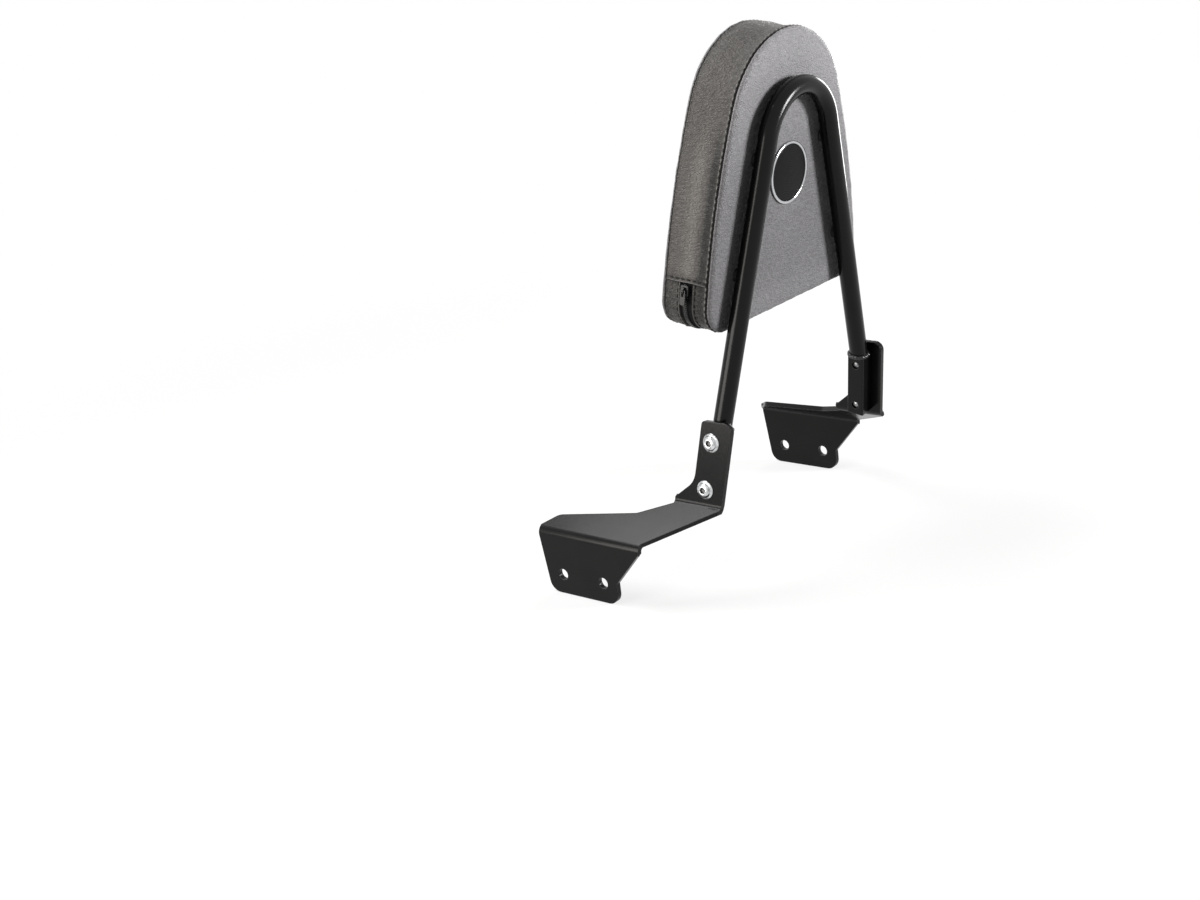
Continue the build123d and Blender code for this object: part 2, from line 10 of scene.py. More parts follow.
import bpy
import numpy as np
from mathutils import Matrix, Vector

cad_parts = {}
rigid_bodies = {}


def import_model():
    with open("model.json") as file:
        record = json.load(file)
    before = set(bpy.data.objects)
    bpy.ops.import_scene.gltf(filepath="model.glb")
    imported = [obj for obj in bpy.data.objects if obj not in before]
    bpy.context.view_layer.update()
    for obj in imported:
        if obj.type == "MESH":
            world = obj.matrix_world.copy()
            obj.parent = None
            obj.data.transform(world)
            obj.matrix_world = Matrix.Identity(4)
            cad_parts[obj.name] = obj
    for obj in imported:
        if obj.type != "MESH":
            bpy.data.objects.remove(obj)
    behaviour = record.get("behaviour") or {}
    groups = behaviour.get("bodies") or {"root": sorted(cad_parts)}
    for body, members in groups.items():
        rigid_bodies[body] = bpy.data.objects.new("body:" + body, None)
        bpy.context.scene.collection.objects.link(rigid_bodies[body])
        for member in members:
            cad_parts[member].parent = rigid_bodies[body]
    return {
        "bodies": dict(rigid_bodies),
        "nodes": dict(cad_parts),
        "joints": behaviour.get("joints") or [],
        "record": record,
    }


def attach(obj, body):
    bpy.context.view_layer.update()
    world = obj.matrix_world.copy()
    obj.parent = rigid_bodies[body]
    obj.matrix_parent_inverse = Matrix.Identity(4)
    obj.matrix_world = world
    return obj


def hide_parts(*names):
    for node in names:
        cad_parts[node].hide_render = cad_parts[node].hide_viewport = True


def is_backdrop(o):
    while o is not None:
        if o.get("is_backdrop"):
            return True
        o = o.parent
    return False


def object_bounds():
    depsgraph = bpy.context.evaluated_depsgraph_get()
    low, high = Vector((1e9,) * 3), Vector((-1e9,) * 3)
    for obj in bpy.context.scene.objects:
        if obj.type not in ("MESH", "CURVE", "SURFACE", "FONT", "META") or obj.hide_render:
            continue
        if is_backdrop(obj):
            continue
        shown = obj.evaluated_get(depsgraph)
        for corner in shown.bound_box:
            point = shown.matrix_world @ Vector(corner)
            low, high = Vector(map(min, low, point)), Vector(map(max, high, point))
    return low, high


Array = np.ndarray
Pair = tuple[float, float]
Triple = tuple[float, float, float]
Colour = tuple[float, float, float, float]
Sockets = dict[Any, Any]

LOG = logging.getLogger("sissy_bar")
# One unit of the drawing in metres: the pieces are laid out at five quarters of their size
UNIT = 0.0008
# One unit of the drawing in the cloth's own metres
CLOTH_UNIT = 0.001
# Points less than this apart, in metres, become one
JOIN = 1e-8
# Least length that a vector is divided by
TINY = 1e-9
# Body that every added piece rides on
FRAME = "frame"
WHITE: Colour = (1.0, 1.0, 1.0, 1.0)


class Slot(Enum):
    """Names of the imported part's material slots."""

    COAT = "black_powder_coat"
    ZINC = "zinc_plated_steel"
    COVER = "grained_leatherette"
    TAPE = "zip_tape"
    TEETH = "zip_teeth"
    RIM = "badge_rim"
    FACE = "badge_face"


class Wire:
    """A value on its way through a material's nodes, with plain arithmetic."""

    def __init__(self, graph: "Graph", socket: bpy.types.NodeSocket) -> None:
        """Keep the graph and the output socket that the value comes from."""
        self.graph = graph
        self.socket = socket

    def maths(self, operation: str, *values: Any) -> "Wire":
        """Result of one Math node, whose inputs are wires or numbers."""
        return self.graph.node("ShaderNodeMath", dict(enumerate(values)), operation=operation)

    def __add__(self, other: Any) -> "Wire":
        """Sum."""
        return self.maths("ADD", self, other)

    def __sub__(self, other: Any) -> "Wire":
        """Difference."""
        return self.maths("SUBTRACT", self, other)

    def __rsub__(self, other: Any) -> "Wire":
        """Difference from a number."""
        return self.maths("SUBTRACT", other, self)

    def __mul__(self, other: Any) -> "Wire":
        """Product."""
        return self.maths("MULTIPLY", self, other)

    def sine(self) -> "Wire":
        """Sine of the value."""
        return self.maths("SINE", self)

    def step(self, low: float, high: float) -> "Wire":
        """Smooth step from 0 where the value is low to 1 where it is high."""
        sockets = {0: self, 1: low, 2: high, 3: 0.0, 4: 1.0}
        return self.graph.node("ShaderNodeMapRange", sockets, interpolation_type="SMOOTHSTEP")

    def beside(self, output: Any) -> "Wire":
        """Another output of the node that the value comes from, by name or number."""
        return Wire(self.graph, self.socket.node.outputs[output])


class Graph:
    """Nodes of one material or world, added one by one. Lengths are in units of the drawing."""

    def __init__(self, owner: bpy.types.ID) -> None:
        """Start with an empty tree of the owner's own."""
        owner.use_nodes = True
        self.tree = owner.node_tree
        self.tree.nodes.clear()

    def node(
        self, kind: str, sockets: Sockets | None = None, output: Any = 0, **settings: Any
    ) -> Wire | None:
        """Add a node of any kind.

        Args:
            kind: the node's type name.
            sockets: input names or numbers, with the wires or plain values they take.
            output: name or number of the output that is handed on.
            settings: properties that are set first.

        Returns:
            That output, or None for a node that has none.
        """
        made = self.tree.nodes.new(kind)
        for key, value in settings.items():
            setattr(made, key, value)
        for key, value in (sockets or {}).items():
            if isinstance(value, Wire):
                self.tree.links.new(value.socket, made.inputs[key])
            else:
                made.inputs[key].default_value = value
        return Wire(self, made.outputs[output]) if made.outputs else None

    def place(self) -> Wire:
        """Position on the piece, in metres."""
        return self.node("ShaderNodeTexCoord", output="Object")

    def mark(self, name: str) -> Wire:
        """Value of a named attribute of the mesh."""
        return self.node("ShaderNodeAttribute", output="Fac", attribute_name=name)

    def stretched(self, sizes: Triple, turn: float = 0.0) -> Wire:
        """Position counted in cells of the given sizes along X, Y and Z, turned about Y by degrees."""
        scale = tuple(1.0 / (size * UNIT) for size in sizes)
        return self.node("ShaderNodeMapping", {
            "Vector": self.place(), "Scale": scale, "Rotation": (0.0, math.radians(turn), 0.0)})

    def noise(self, size: float, detail: float, place: Wire | None = None) -> Wire:
        """Cloudy noise around one half, by the size of its clouds, in cells where a place is given."""
        scale = 1.0 / (size if place else size * UNIT)
        return self.node("ShaderNodeTexNoise", {
            "Vector": place or self.place(), "Scale": scale, "Detail": detail})

    def mix(self, share: Any, low: Any, high: Any) -> Wire:
        """Blend of two colours, by the share of the second."""
        return self.node("ShaderNodeMix", {0: share, 6: low, 7: high}, 2, data_type="RGBA")

    def bump(self, height: Wire, depth: float, strength: float, normal: Wire | None = None) -> Wire:
        """Surface normal of a relief.

        Args:
            height: the relief, from 0 to 1.
            depth: its depth.
            strength: how far it counts.
            normal: normal it starts from.

        Returns:
            The bumped normal.
        """
        sockets = {"Height": height, "Distance": depth * UNIT, "Strength": strength}
        if normal:
            sockets["Normal"] = normal
        return self.node("ShaderNodeBump", sockets)

    def rounded(self, radius: float) -> Wire:
        """Normal that rounds the piece's edges by a radius."""
        return self.node("ShaderNodeBevel", {"Radius": radius * UNIT}, samples=4)

    def edge_mask(self, radius: float) -> Wire:
        """Mask of the edges: a step of 1 less the cosine between the true normal and the rounded one.

        Args:
            radius: how far it reaches from an edge.

        Returns:
            The mask, 0 on flats and more towards an edge.
        """
        sockets = {0: self.rounded(radius), 1: self.node("ShaderNodeNewGeometry", output="Normal")}
        alike = self.node("ShaderNodeVectorMath", sockets, "Value", operation="DOT_PRODUCT")
        return (1.0 - alike).step(0.02, 0.22)

    def surface(self, sockets: Sockets) -> Wire:
        """Principled shader with the given sockets."""
        return self.node("ShaderNodeBsdfPrincipled", sockets)


class Finish:
    """A finish that paints its own material once."""

    name: str

    def paint(self, graph: Graph) -> Wire:
        """Shader of the finish, from nodes added to the graph."""
        raise NotImplementedError

    def material(self) -> bpy.types.Material:
        """Find or make the finish's material.

        Returns:
            The material of this name, made at its first use.
        """
        made = bpy.data.materials.get(self.name)
        if made is None:
            made = bpy.data.materials.new(self.name)
            graph = Graph(made)
            graph.node("ShaderNodeOutputMaterial", {"Surface": self.paint(graph)})
        return made


@dataclass(frozen=True)
class PowderCoat(Finish):
    """Satin black powder coat: fine orange peel, soft edges, faint cloudiness of the gloss."""

    name: str = "satin_black_powder_coat"
    dark: Colour = (0.0030, 0.0030, 0.0032, 1.0)
    light: Colour = (0.0065, 0.0064, 0.0062, 1.0)
    # Painted highlight along the edges
    rubbed: Colour = (0.120, 0.120, 0.121, 1.0)
    roughness: float = 0.16
    spread: float = 0.06
    gloss: float = 0.16
    cloud: float = 24.0
    peel: float = 0.9
    peel_depth: float = 0.05
    edge: float = 1.3

    def paint(self, graph: Graph) -> Wire:
        """Cloudy black with a peel of small waves over rounded edges, and a painted highlight that makes the
        edges paler.

        Args:
            graph: nodes to add to.

        Returns:
            The shader.
        """
        cloud = graph.noise(self.cloud, 3.0)
        peel = graph.noise(self.peel, 1.0)
        # Paler along the edges: a painted highlight
        rubbed = graph.edge_mask(self.edge) * (cloud * 0.9 + 0.2)
        return graph.surface({
            "Base Color": graph.mix(rubbed, graph.mix(cloud, self.dark, self.light), self.rubbed),
            "Roughness": (cloud - 0.5) * self.spread + peel * 0.04 + self.roughness,
            "Specular IOR Level": self.gloss,
            "Normal": graph.bump(peel, self.peel_depth, 0.35, graph.rounded(self.edge)),
        })


@dataclass(frozen=True)
class ZincPlate(Finish):
    """Bright zinc plate with fine handling marks, clouds of a duller tone that are a painted reflection, and
    painted shade where the mesh is marked.
    """

    name: str = "bright_zinc_plate"
    bright: Colour = (0.66, 0.67, 0.68, 1.0)
    # Duller tone of the clouds: a painted reflection
    dull: Colour = (0.28, 0.28, 0.28, 1.0)
    # Painted shade in the sockets and on the recessed tips
    recess_shade_colour: Colour = (0.035, 0.034, 0.033, 1.0)
    cloud: float = 3.0
    scratch: Triple = (0.15, 1.6, 0.3)
    scratch_turn: float = 20.0
    edge: float = 0.3

    def paint(self, graph: Graph) -> Wire:
        """Metal whose tint and gloss follow clouds and scratches: the duller clouds are a painted reflection,
        and painted shade darkens it where the mesh is marked.

        Args:
            graph: nodes to add to.

        Returns:
            The shader.
        """
        cloud = graph.noise(self.cloud, 3.0)
        scratch = graph.noise(1.0, 2.0, graph.stretched(self.scratch, self.scratch_turn))
        # Mark of painted shade in the sockets and on the recessed tips
        recess_shade = graph.mark("recess_shade")
        # Clouds of the duller tone: a painted reflection
        clean = graph.mix(cloud.step(0.35, 0.75), self.bright, self.dull)
        return graph.surface({
            "Base Color": graph.mix(recess_shade, clean, self.recess_shade_colour),
            "Metallic": 1.0,
            "Roughness": cloud * 0.10 + scratch * 0.06 + recess_shade * 0.3 + 0.12,
            "Normal": graph.bump(scratch, 0.01, 0.3, graph.rounded(self.edge)),
        })


@dataclass(frozen=True)
class Leatherette(Finish):
    """Black grained leatherette: flat pebbles in level rows, a dry sheen, painted shade in the seams and
    painted highlights on their lips.
    """

    name: str = "black_grained_leatherette"
    valley: Colour = (0.060, 0.058, 0.061, 1.0)
    pebble: Colour = (0.360, 0.351, 0.362, 1.0)
    # The band's two tones are a darker copy of the panel's two: painted shade
    band_shaded_low: Colour = (0.016, 0.015, 0.014, 1.0)
    rubbed: Colour = (0.216, 0.204, 0.193, 1.0)
    # Painted highlight on the seams' lips and the folds' edges
    painted_lip_highlight: Colour = (0.30, 0.29, 0.28, 1.0)
    # Painted shade in the seams, the zip's slot and under the folds, and the dark stitch dashes
    seam: Colour = (0.004, 0.004, 0.004, 1.0)
    cell: Triple = (3.2, 3.2, 1.8)
    cell_turn: float = 8.0
    bend: Triple = (1.1, 1.1, 1.1)
    crease: Triple = (5.6, 5.6, 2.1)
    crease_turn: float = 14.0
    cloud: float = 38.0
    fine: float = 0.5
    depth: float = 0.75
    roughness: float = 0.34
    sheen: float = 0.08

    def paint(self, graph: Graph) -> Wire:
        """Pebbles are cells of a stretched Voronoi field, bent by noise and crossed by slanting creases.

        The panels and the band have their own two tones, the band's a darker copy that is painted shade,
        which the grain, the creases, a cloud and the mesh's mark of painted light blend.

        Args:
            graph: nodes to add to.

        Returns:
            The shader.
        """
        cells = graph.stretched(self.cell, self.cell_turn)
        drift = graph.node("ShaderNodeTexNoise", {"Vector": cells, "Scale": 0.45, "Detail": 2.0}, "Color")
        sway = {0: drift, 1: self.bend, 2: cells}
        bent = graph.node("ShaderNodeVectorMath", sway, operation="MULTIPLY_ADD")
        edge = graph.node("ShaderNodeTexVoronoi", {"Vector": bent, "Scale": 1.0}, feature="DISTANCE_TO_EDGE")
        grain = edge.step(0.0, 0.35)
        crease = graph.noise(1.0, 2.0, graph.stretched(self.crease, self.crease_turn)).step(0.3, 0.7)
        cloud = graph.noise(self.cloud, 3.0)
        painted_light, seam = graph.mark("painted_light"), graph.mark("seam")
        # The mark of painted light lightens the panels and the band's swell, and darkens the band's hollow
        panel = grain * 0.12 + crease * 0.13 + cloud * 0.16 + painted_light * 0.48 - 0.02
        band = grain * 0.12 + crease * 0.15 + cloud * 0.15 + painted_light - 0.25
        # The band takes its darker tones: painted shade
        base = graph.mix(graph.mark("band"), graph.mix(panel, self.valley, self.pebble),
                         graph.mix(band, self.band_shaded_low, self.rubbed))
        # Painted highlight on the lips of the back seam, the slot and the cross folds
        base = graph.mix(graph.mark("painted_lip_highlight"), base, self.painted_lip_highlight)
        relief = grain * 0.45 + crease * 0.5 + graph.noise(self.fine, 2.0) * 0.05
        return graph.surface({
            # The seam mark darkens the cover with painted shade in the grooves, the slot and under the folds,
            # and with dark stitch dashes
            "Base Color": graph.mix(seam, base, self.seam),
            "Roughness": (1.0 - grain) * 0.14 + cloud * 0.08 + seam * 0.25 + self.roughness,
            "Specular IOR Level": 0.17,
            "Sheen Weight": self.sheen,
            "Sheen Roughness": 0.45,
            "Normal": graph.bump(relief, self.depth, 1.0),
        })


@dataclass(frozen=True)
class ZipCloth(Finish):
    """Woven black zip tape."""

    name: str = "woven_zip_tape"
    low: Colour = (0.002, 0.002, 0.002, 1.0)
    high: Colour = (0.010, 0.010, 0.0105, 1.0)
    pitch: float = 0.7
    depth: float = 0.12

    def paint(self, graph: Graph) -> Wire:
        """Weave as two products of sines, which run along the three axes.

        Args:
            graph: nodes to add to.

        Returns:
            The shader.
        """
        parts = graph.node("ShaderNodeSeparateXYZ", {0: graph.stretched((self.pitch,) * 3)})
        x, y, z = ((parts.beside(axis) * math.tau).sine() for axis in range(3))
        weave = (x * y + y * z) * 0.25 + 0.5
        return graph.surface({
            "Base Color": graph.mix(weave, self.low, self.high),
            "Roughness": weave * 0.1 + 0.75,
            "Specular IOR Level": 0.15,
            "Normal": graph.bump(weave, self.depth, 0.7),
        })


@dataclass(frozen=True)
class WornEnamel(Finish):
    """Black enamel on die-cast metal, rubbed bright along its edges."""

    name: str = "worn_zip_enamel"
    enamel: Colour = (0.010, 0.010, 0.011, 1.0)
    metal: Colour = (0.40, 0.39, 0.37, 1.0)
    cloud: float = 3.5
    edge_mask: float = 0.35
    edge: float = 0.3

    def paint(self, graph: Graph) -> Wire:
        """Metal shows where an edge mask and a patchy noise are both high.

        Args:
            graph: nodes to add to.

        Returns:
            The shader.
        """
        patchy = graph.noise(self.cloud, 2.0)
        rubbed = graph.edge_mask(self.edge_mask) * patchy.step(0.42, 0.66)
        return graph.surface({
            "Base Color": graph.mix(rubbed, self.enamel, self.metal),
            "Metallic": rubbed,
            "Roughness": patchy * 0.12 + 0.16,
            "Specular IOR Level": 0.2,
            "Normal": graph.bump(patchy, 0.03, 0.3, graph.rounded(self.edge)),
        })


@dataclass(frozen=True)
class SpunEnamel(Finish):
    """Gloss black enamel over a spun disc: fine rings about the badge's axis under a clear coat."""

    name: str = "spun_badge_enamel"
    low: Colour = (0.002, 0.002, 0.0022, 1.0)
    high: Colour = (0.008, 0.008, 0.0085, 1.0)
    ring_pitch: float = 1.5
    ring_depth: float = 0.02
    haze: float = 5.0

    def paint(self, graph: Graph) -> Wire:
        """Rings are a sine of the distance from the axis, which the mesh carries as a mark.

        Args:
            graph: nodes to add to.

        Returns:
            The shader.
        """
        groove = (graph.mark("ring") * (math.tau / self.ring_pitch)).sine() * 0.5 + 0.5
        haze = graph.noise(self.haze, 3.0)
        return graph.surface({
            "Base Color": graph.mix(groove * (haze * 0.6 + 0.2), self.low, self.high),
            "Roughness": groove * 0.10 + haze * 0.06 + 0.16,
            "Specular IOR Level": 0.06,
            "Coat Weight": 0.05,
            "Coat Roughness": 0.04,
            "Normal": graph.bump(groove, self.ring_depth, 0.5),
        })


@dataclass(frozen=True)
class Mottled(Finish):
    """Two tones that one noise blends.

    Roughness is given as a spread and a least value, relief as a depth and a strength.
    """

    name: str
    low: Colour
    high: Colour
    size: float
    detail: float
    roughness: Pair
    relief: Pair
    cell: Triple | None = None
    turn: float = 0.0
    blend: Pair | None = None
    pit: float | None = None
    metallic: float = 0.0
    gloss: float = 0.5

    def paint(self, graph: Graph) -> Wire:
        """Tone, gloss and relief follow one noise, but the relief its own where the finish has pits.

        Args:
            graph: nodes to add to.

        Returns:
            The shader.
        """
        place = graph.stretched(self.cell, self.turn) if self.cell else None
        cloud = graph.noise(self.size, self.detail, place)
        share = cloud.step(*self.blend) if self.blend else cloud
        height = graph.noise(self.pit, 1.0) if self.pit else cloud
        spread, least = self.roughness
        return graph.surface({
            "Base Color": graph.mix(share, self.low, self.high),
            "Metallic": self.metallic,
            "Roughness": cloud * spread + least,
            "Specular IOR Level": self.gloss,
            "Normal": graph.bump(height, *self.relief),
        })


THREAD = Mottled(
    "black_thread", (0.002, 0.002, 0.002, 1.0), (0.010, 0.010, 0.0105, 1.0), size=1.0, detail=1.0,
    roughness=(0.2, 0.55), relief=(0.08, 0.7), cell=(0.25, 0.25, 0.9), turn=35.0, gloss=0.2)
MOULDING = Mottled(
    "moulded_black_plastic", (0.010, 0.010, 0.010, 1.0), (0.028, 0.028, 0.028, 1.0), size=1.4, detail=2.0,
    roughness=(0.15, 0.3), relief=(0.02, 0.5), pit=0.3)
CHROME = Mottled(
    "polished_chrome", (0.58, 0.59, 0.60, 1.0), (0.44, 0.44, 0.45, 1.0), size=2.4, detail=3.0,
    roughness=(0.08, 0.05), relief=(0.01, 0.3), metallic=1.0)
PLYWOOD = Mottled(
    "bare_plywood", (0.56, 0.42, 0.27, 1.0), (0.36, 0.24, 0.14, 1.0), size=1.0, detail=4.0,
    roughness=(0.15, 0.6), relief=(0.1, 0.5), cell=(3.0, 1.2, 60.0), blend=(0.35, 0.7))
FOAM = Mottled(
    "open_cell_foam", (0.50, 0.45, 0.33, 1.0), (0.78, 0.74, 0.60, 1.0), size=1.3, detail=3.0,
    roughness=(0.1, 0.85), relief=(0.5, 0.8), blend=(0.4, 0.6))
# A darker copy of the zinc plate for the pad's bushes, which sit in the tube's shadow: painted shade
SHADED_ZINC = ZincPlate("shaded_zinc_plate", (0.22, 0.22, 0.22, 1.0), (0.12, 0.12, 0.12, 1.0))
WELD_COAT = PowderCoat("coated_weld", roughness=0.2, gloss=0.45)


def grid(first: Array, second: Array) -> list[Array]:
    """Both values at each row and column of a grid."""
    return np.meshgrid(first, second, indexing="ij")


def turns(count: int) -> Array:
    """Angles round one full turn, in even steps from 0."""
    return np.linspace(0.0, math.tau, count, endpoint=False)


def flattened(angle: Array, power: float) -> list[Array]:
    """Cosine and sine of the angle, each raised to a power below one, which squares a circle off."""
    return [np.sign(wave) * np.abs(wave) ** power for wave in (np.cos(angle), np.sin(angle))]


def smooth_step(value: Array, low: float, high: float) -> Array:
    """Smooth step of an array: 0 at low, 1 at high, by the cubic 3t^2 - 2t^3."""
    t = np.clip((value - low) / (high - low), 0.0, 1.0)
    return t * t * (3.0 - 2.0 * t)


def lengths(points: Array) -> Array:
    """Length run along a line of points, at each of them."""
    return np.concatenate([[0.0], np.cumsum(np.hypot(*np.diff(points, axis=0).T))])


def unit(vectors: Array) -> Array:
    """The same directions, at length 1."""
    return vectors / np.maximum(np.linalg.norm(vectors, axis=-1, keepdims=True), TINY)


def joined(points: Array) -> tuple[Array, Array]:
    """Join doubled points.

    Args:
        points: places in metres.

    Returns:
        Numbers of the points that stay, and which of those each point becomes.
    """
    keys = np.round(points / JOIN).astype(np.int64)
    _, first, inverse = np.unique(keys, axis=0, return_index=True, return_inverse=True)
    return first, inverse.reshape(-1)


def cubic_rows(values: Array, where: Array, wrap: bool) -> Array:
    """Rows read between rows, by Catmull-Rom weights on the four nearest.

    Args:
        values: rows to read, along the first axis.
        where: row numbers with fractions.
        wrap: whether the rows run round.

    Returns:
        One row for each number.
    """
    low = np.floor(where).astype(int)
    t = (where - low).reshape((-1,) + (1,) * (values.ndim - 1))
    weights = (
        -0.5 * t + t**2 - 0.5 * t**3,
        1.0 - 2.5 * t**2 + 1.5 * t**3,
        0.5 * t + 2.0 * t**2 - 1.5 * t**3,
        -0.5 * t**2 + 0.5 * t**3,
    )
    count = len(values)
    picks = [(low + step) % count if wrap else np.clip(low + step, 0, count - 1) for step in (-1, 0, 1, 2)]
    return sum(weight * values[pick] for weight, pick in zip(weights, picks))


@dataclass(frozen=True)
class Bell:
    """Bell curve: height times exp(-((value - place) / width)^2)."""

    height: float
    place: float
    width: float

    def at(self, value: Array) -> Array:
        """Height of the curve at each value."""
        return self.height * np.exp(-(((value - self.place) / self.width) ** 2))


@dataclass
class Patch:
    """A mesh as arrays: points in metres, faces as rows of four indices, and marks for each point."""

    points: Array
    faces: Array
    marks: dict[str, Array] = field(default_factory=dict)

    @staticmethod
    def grid_faces(rows: int, columns: int, closed: bool = False) -> Array:
        """Faces of a grid of points that is stored row by row and whose last column joins its first.

        Args:
            rows: number of rows.
            columns: number of columns.
            closed: whether the last row joins the first too.

        Returns:
            Rows of four point indices.
        """
        i, j = (index.ravel() for index in grid(np.arange(rows if closed else rows - 1), np.arange(columns)))
        k, m = (i + 1) % rows, (j + 1) % columns
        return np.stack([i * columns + j, i * columns + m, k * columns + m, k * columns + j], axis=1)

    @classmethod
    def of_grid(cls, points: Array, closed: bool = False, marks: dict[str, Array] | None = None) -> "Patch":
        """Patch of points by row and column, joined up as grid_faces says."""
        return cls(points.reshape(-1, 3), cls.grid_faces(*points.shape[:2], closed), marks or {})

    @classmethod
    def repeated(cls, shape: Array, origins: Array, axes: Array) -> "Patch":
        """One small shape set down many times.

        Args:
            shape: its points by row and column, in its own axes.
            origins: where each copy sits.
            axes: three vectors for each copy, as rows.

        Returns:
            All copies as one patch.
        """
        single = cls.of_grid(shape)
        points = origins[:, None, :] + np.einsum("pk,nkc->npc", single.points, axes)
        offsets = np.arange(len(origins))[:, None, None] * len(single.points)
        return cls(points.reshape(-1, 3), (single.faces[None] + offsets).reshape(-1, 4))


def put(name: str, data: bpy.types.ID) -> bpy.types.Object:
    """Make an object of its data and link it to the scene.

    Args:
        name: the object's name.
        data: its mesh, lamp or camera.

    Returns:
        The object.
    """
    made = bpy.data.objects.new(name, data)
    bpy.context.scene.collection.objects.link(made)
    return made


class Workshop:
    """Puts patches into the scene as pieces and hands them to the frame."""

    def __init__(self, nodes: dict[str, bpy.types.Object]) -> None:
        """Keep the frame's own objects by name."""
        self.nodes = nodes

    @staticmethod
    def mesh(name: str, patch: Patch) -> bpy.types.Object:
        """Mesh object of a patch, with doubled points joined and faces turned outwards.

        A face with one doubled corner becomes a triangle, and one with more is left out. The faces point
        outwards when the volume under them, the sum of their corners' triple products, is above 0.

        Args:
            name: the piece's name.
            patch: its arrays.

        Returns:
            The object, linked to the scene.
        """
        first, number = joined(patch.points)
        points, quads = patch.points[first], number[patch.faces]
        same = quads == np.roll(quads, -1, axis=1)
        whole, thin = (same.sum(axis=1) == doubled for doubled in (0, 1))
        keep = (np.argmax(same[thin], axis=1)[:, None] + np.array([1, 2, 3])) % 4
        whole, corners = quads[whole], np.take_along_axis(quads[thin], keep, axis=1)
        a, b, c, d = (points[whole[:, corner]] for corner in range(4))
        if np.einsum("ij,ij->", a, np.cross(b, c) + np.cross(c, d)) < 0.0:
            whole, corners = whole[:, ::-1], corners[:, ::-1]
        data = bpy.data.meshes.new(name)
        data.from_pydata(points.tolist(), [], whole.tolist() + corners.tolist())
        for mark, values in patch.marks.items():
            layer = data.attributes.new(mark, "FLOAT", "POINT")
            layer.data.foreach_set("value", np.asarray(values, np.float32).ravel()[first])
        data.polygons.foreach_set("use_smooth", np.ones(len(data.polygons), bool))
        return put(name, data)

    def add(self, name: str, patch: Patch, finish: Finish, slot: Slot, *replaces: str) -> bpy.types.Object:
        """Add one piece.

        Args:
            name: the piece's name.
            patch: its arrays.
            finish: its finish.
            slot: the record's slot it belongs to; not used.
            replaces: the solids it stands for.

        Returns:
            The piece.
        """
        piece = self.mesh(name, patch)
        piece.data.materials.append(finish.material())
        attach(piece, FRAME)
        if replaces:
            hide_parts(*replaces)
        LOG.info("made %s: %d faces", name, len(piece.data.polygons))
        return piece

    def dress(self, finish: Finish, *names: str) -> None:
        """Give solids of the frame a finish.

        Args:
            finish: the finish.
            names: the solids' names.
        """
        for name in names:
            for holder in self.nodes[name].material_slots:
                holder.material = finish.material()
            LOG.info("dressed %s", name)


@dataclass(frozen=True)
class HoopPlane:
    """Leaning plane of the hoop, from which the pad is laid out, in units of the drawing and degrees."""

    origin: Triple = (0.0, -137.5544, 227.5471)
    lean_back: float = 7.0

    def place(self, points: Array) -> Array:
        """Turn points from the plane's own directions to the frame's.

        Args:
            points: across, up the plane and ahead of it, in units of the drawing.

        Returns:
            The same points in the frame, in metres.
        """
        lean = math.radians(self.lean_back)
        up = (0.0, -math.sin(lean), math.cos(lean))
        ahead = (0.0, math.cos(lean), math.sin(lean))
        return (points @ np.array([(1.0, 0.0, 0.0), up, ahead]) + np.array(self.origin)) * UNIT


@dataclass(frozen=True)
class PadOutline:
    """Outline of the pad in the hoop's plane: flat foot, round corners, bowed sides and round top."""

    height: float = 258.0
    lower_width: float = 246.0
    top_radius: float = 87.0
    side_radius: float = 700.0
    corner_radius: float = 26.0
    fineness: int = 700
    normal_step: float = 0.4

    def right_half(self) -> Array:
        """Right half of the outline: a line and three arcs that are tangent to each other.

        Returns:
            Points from the middle of the foot up the right side to the top.
        """
        middle = self.height - self.top_radius
        spread = self.side_radius - self.top_radius
        foot = (self.lower_width / 2.0, -middle)
        distance = math.hypot(*foot)
        reach = (self.side_radius**2 - distance**2 - spread**2) / (2.0 * spread * distance)
        meet = math.acos(reach) + math.atan2(foot[1], foot[0])
        side = (-spread * math.cos(meet), middle - spread * math.sin(meet))
        inner = self.side_radius - self.corner_radius
        corner = (side[0] + math.sqrt(inner**2 - (self.corner_radius - side[1]) ** 2), self.corner_radius)
        leave = math.atan2(corner[1] - side[1], corner[0] - side[0])
        runs = [np.stack([np.linspace(0.0, corner[0], self.fineness), np.zeros(self.fineness)], axis=1)]
        for centre, radius, start, end in (
            (corner, self.corner_radius, -math.pi / 2.0, leave),
            (side, self.side_radius, leave, meet),
            ((0.0, middle), self.top_radius, meet, math.pi / 2.0),
        ):
            angle = np.linspace(start, end, self.fineness)[1:]
            runs.append(np.array(centre) + radius * np.stack([np.cos(angle), np.sin(angle)], axis=1))
        return np.concatenate(runs)

    def loop(self) -> Array:
        """Points of the whole outline, from the middle of the foot round by the right."""
        half = self.right_half()
        return np.concatenate([half, (half * (-1.0, 1.0))[-2::-1]])

    def length(self) -> float:
        """Length round the outline."""
        return float(lengths(self.loop())[-1])

    def run_to(self, height: float) -> float:
        """Length along the outline from the middle of the foot to a height on the side."""
        half = self.right_half()
        return float(np.interp(height, half[:, 1], lengths(half)))

    def at(self, run: Array) -> tuple[Array, Array]:
        """Points and inward normals.

        Args:
            run: lengths along the outline, also below 0 or past its end.

        Returns:
            Points and unit normals, across and up.
        """
        points = self.loop()
        ends = lengths(points)
        before, here, after = (
            np.stack([np.interp(np.mod(run + shift, ends[-1]), ends, points[:, k]) for k in (0, 1)], axis=1)
            for shift in (-self.normal_step, 0.0, self.normal_step))
        along = unit(after - before)
        return here, np.stack([-along[:, 1], along[:, 0]], axis=1)


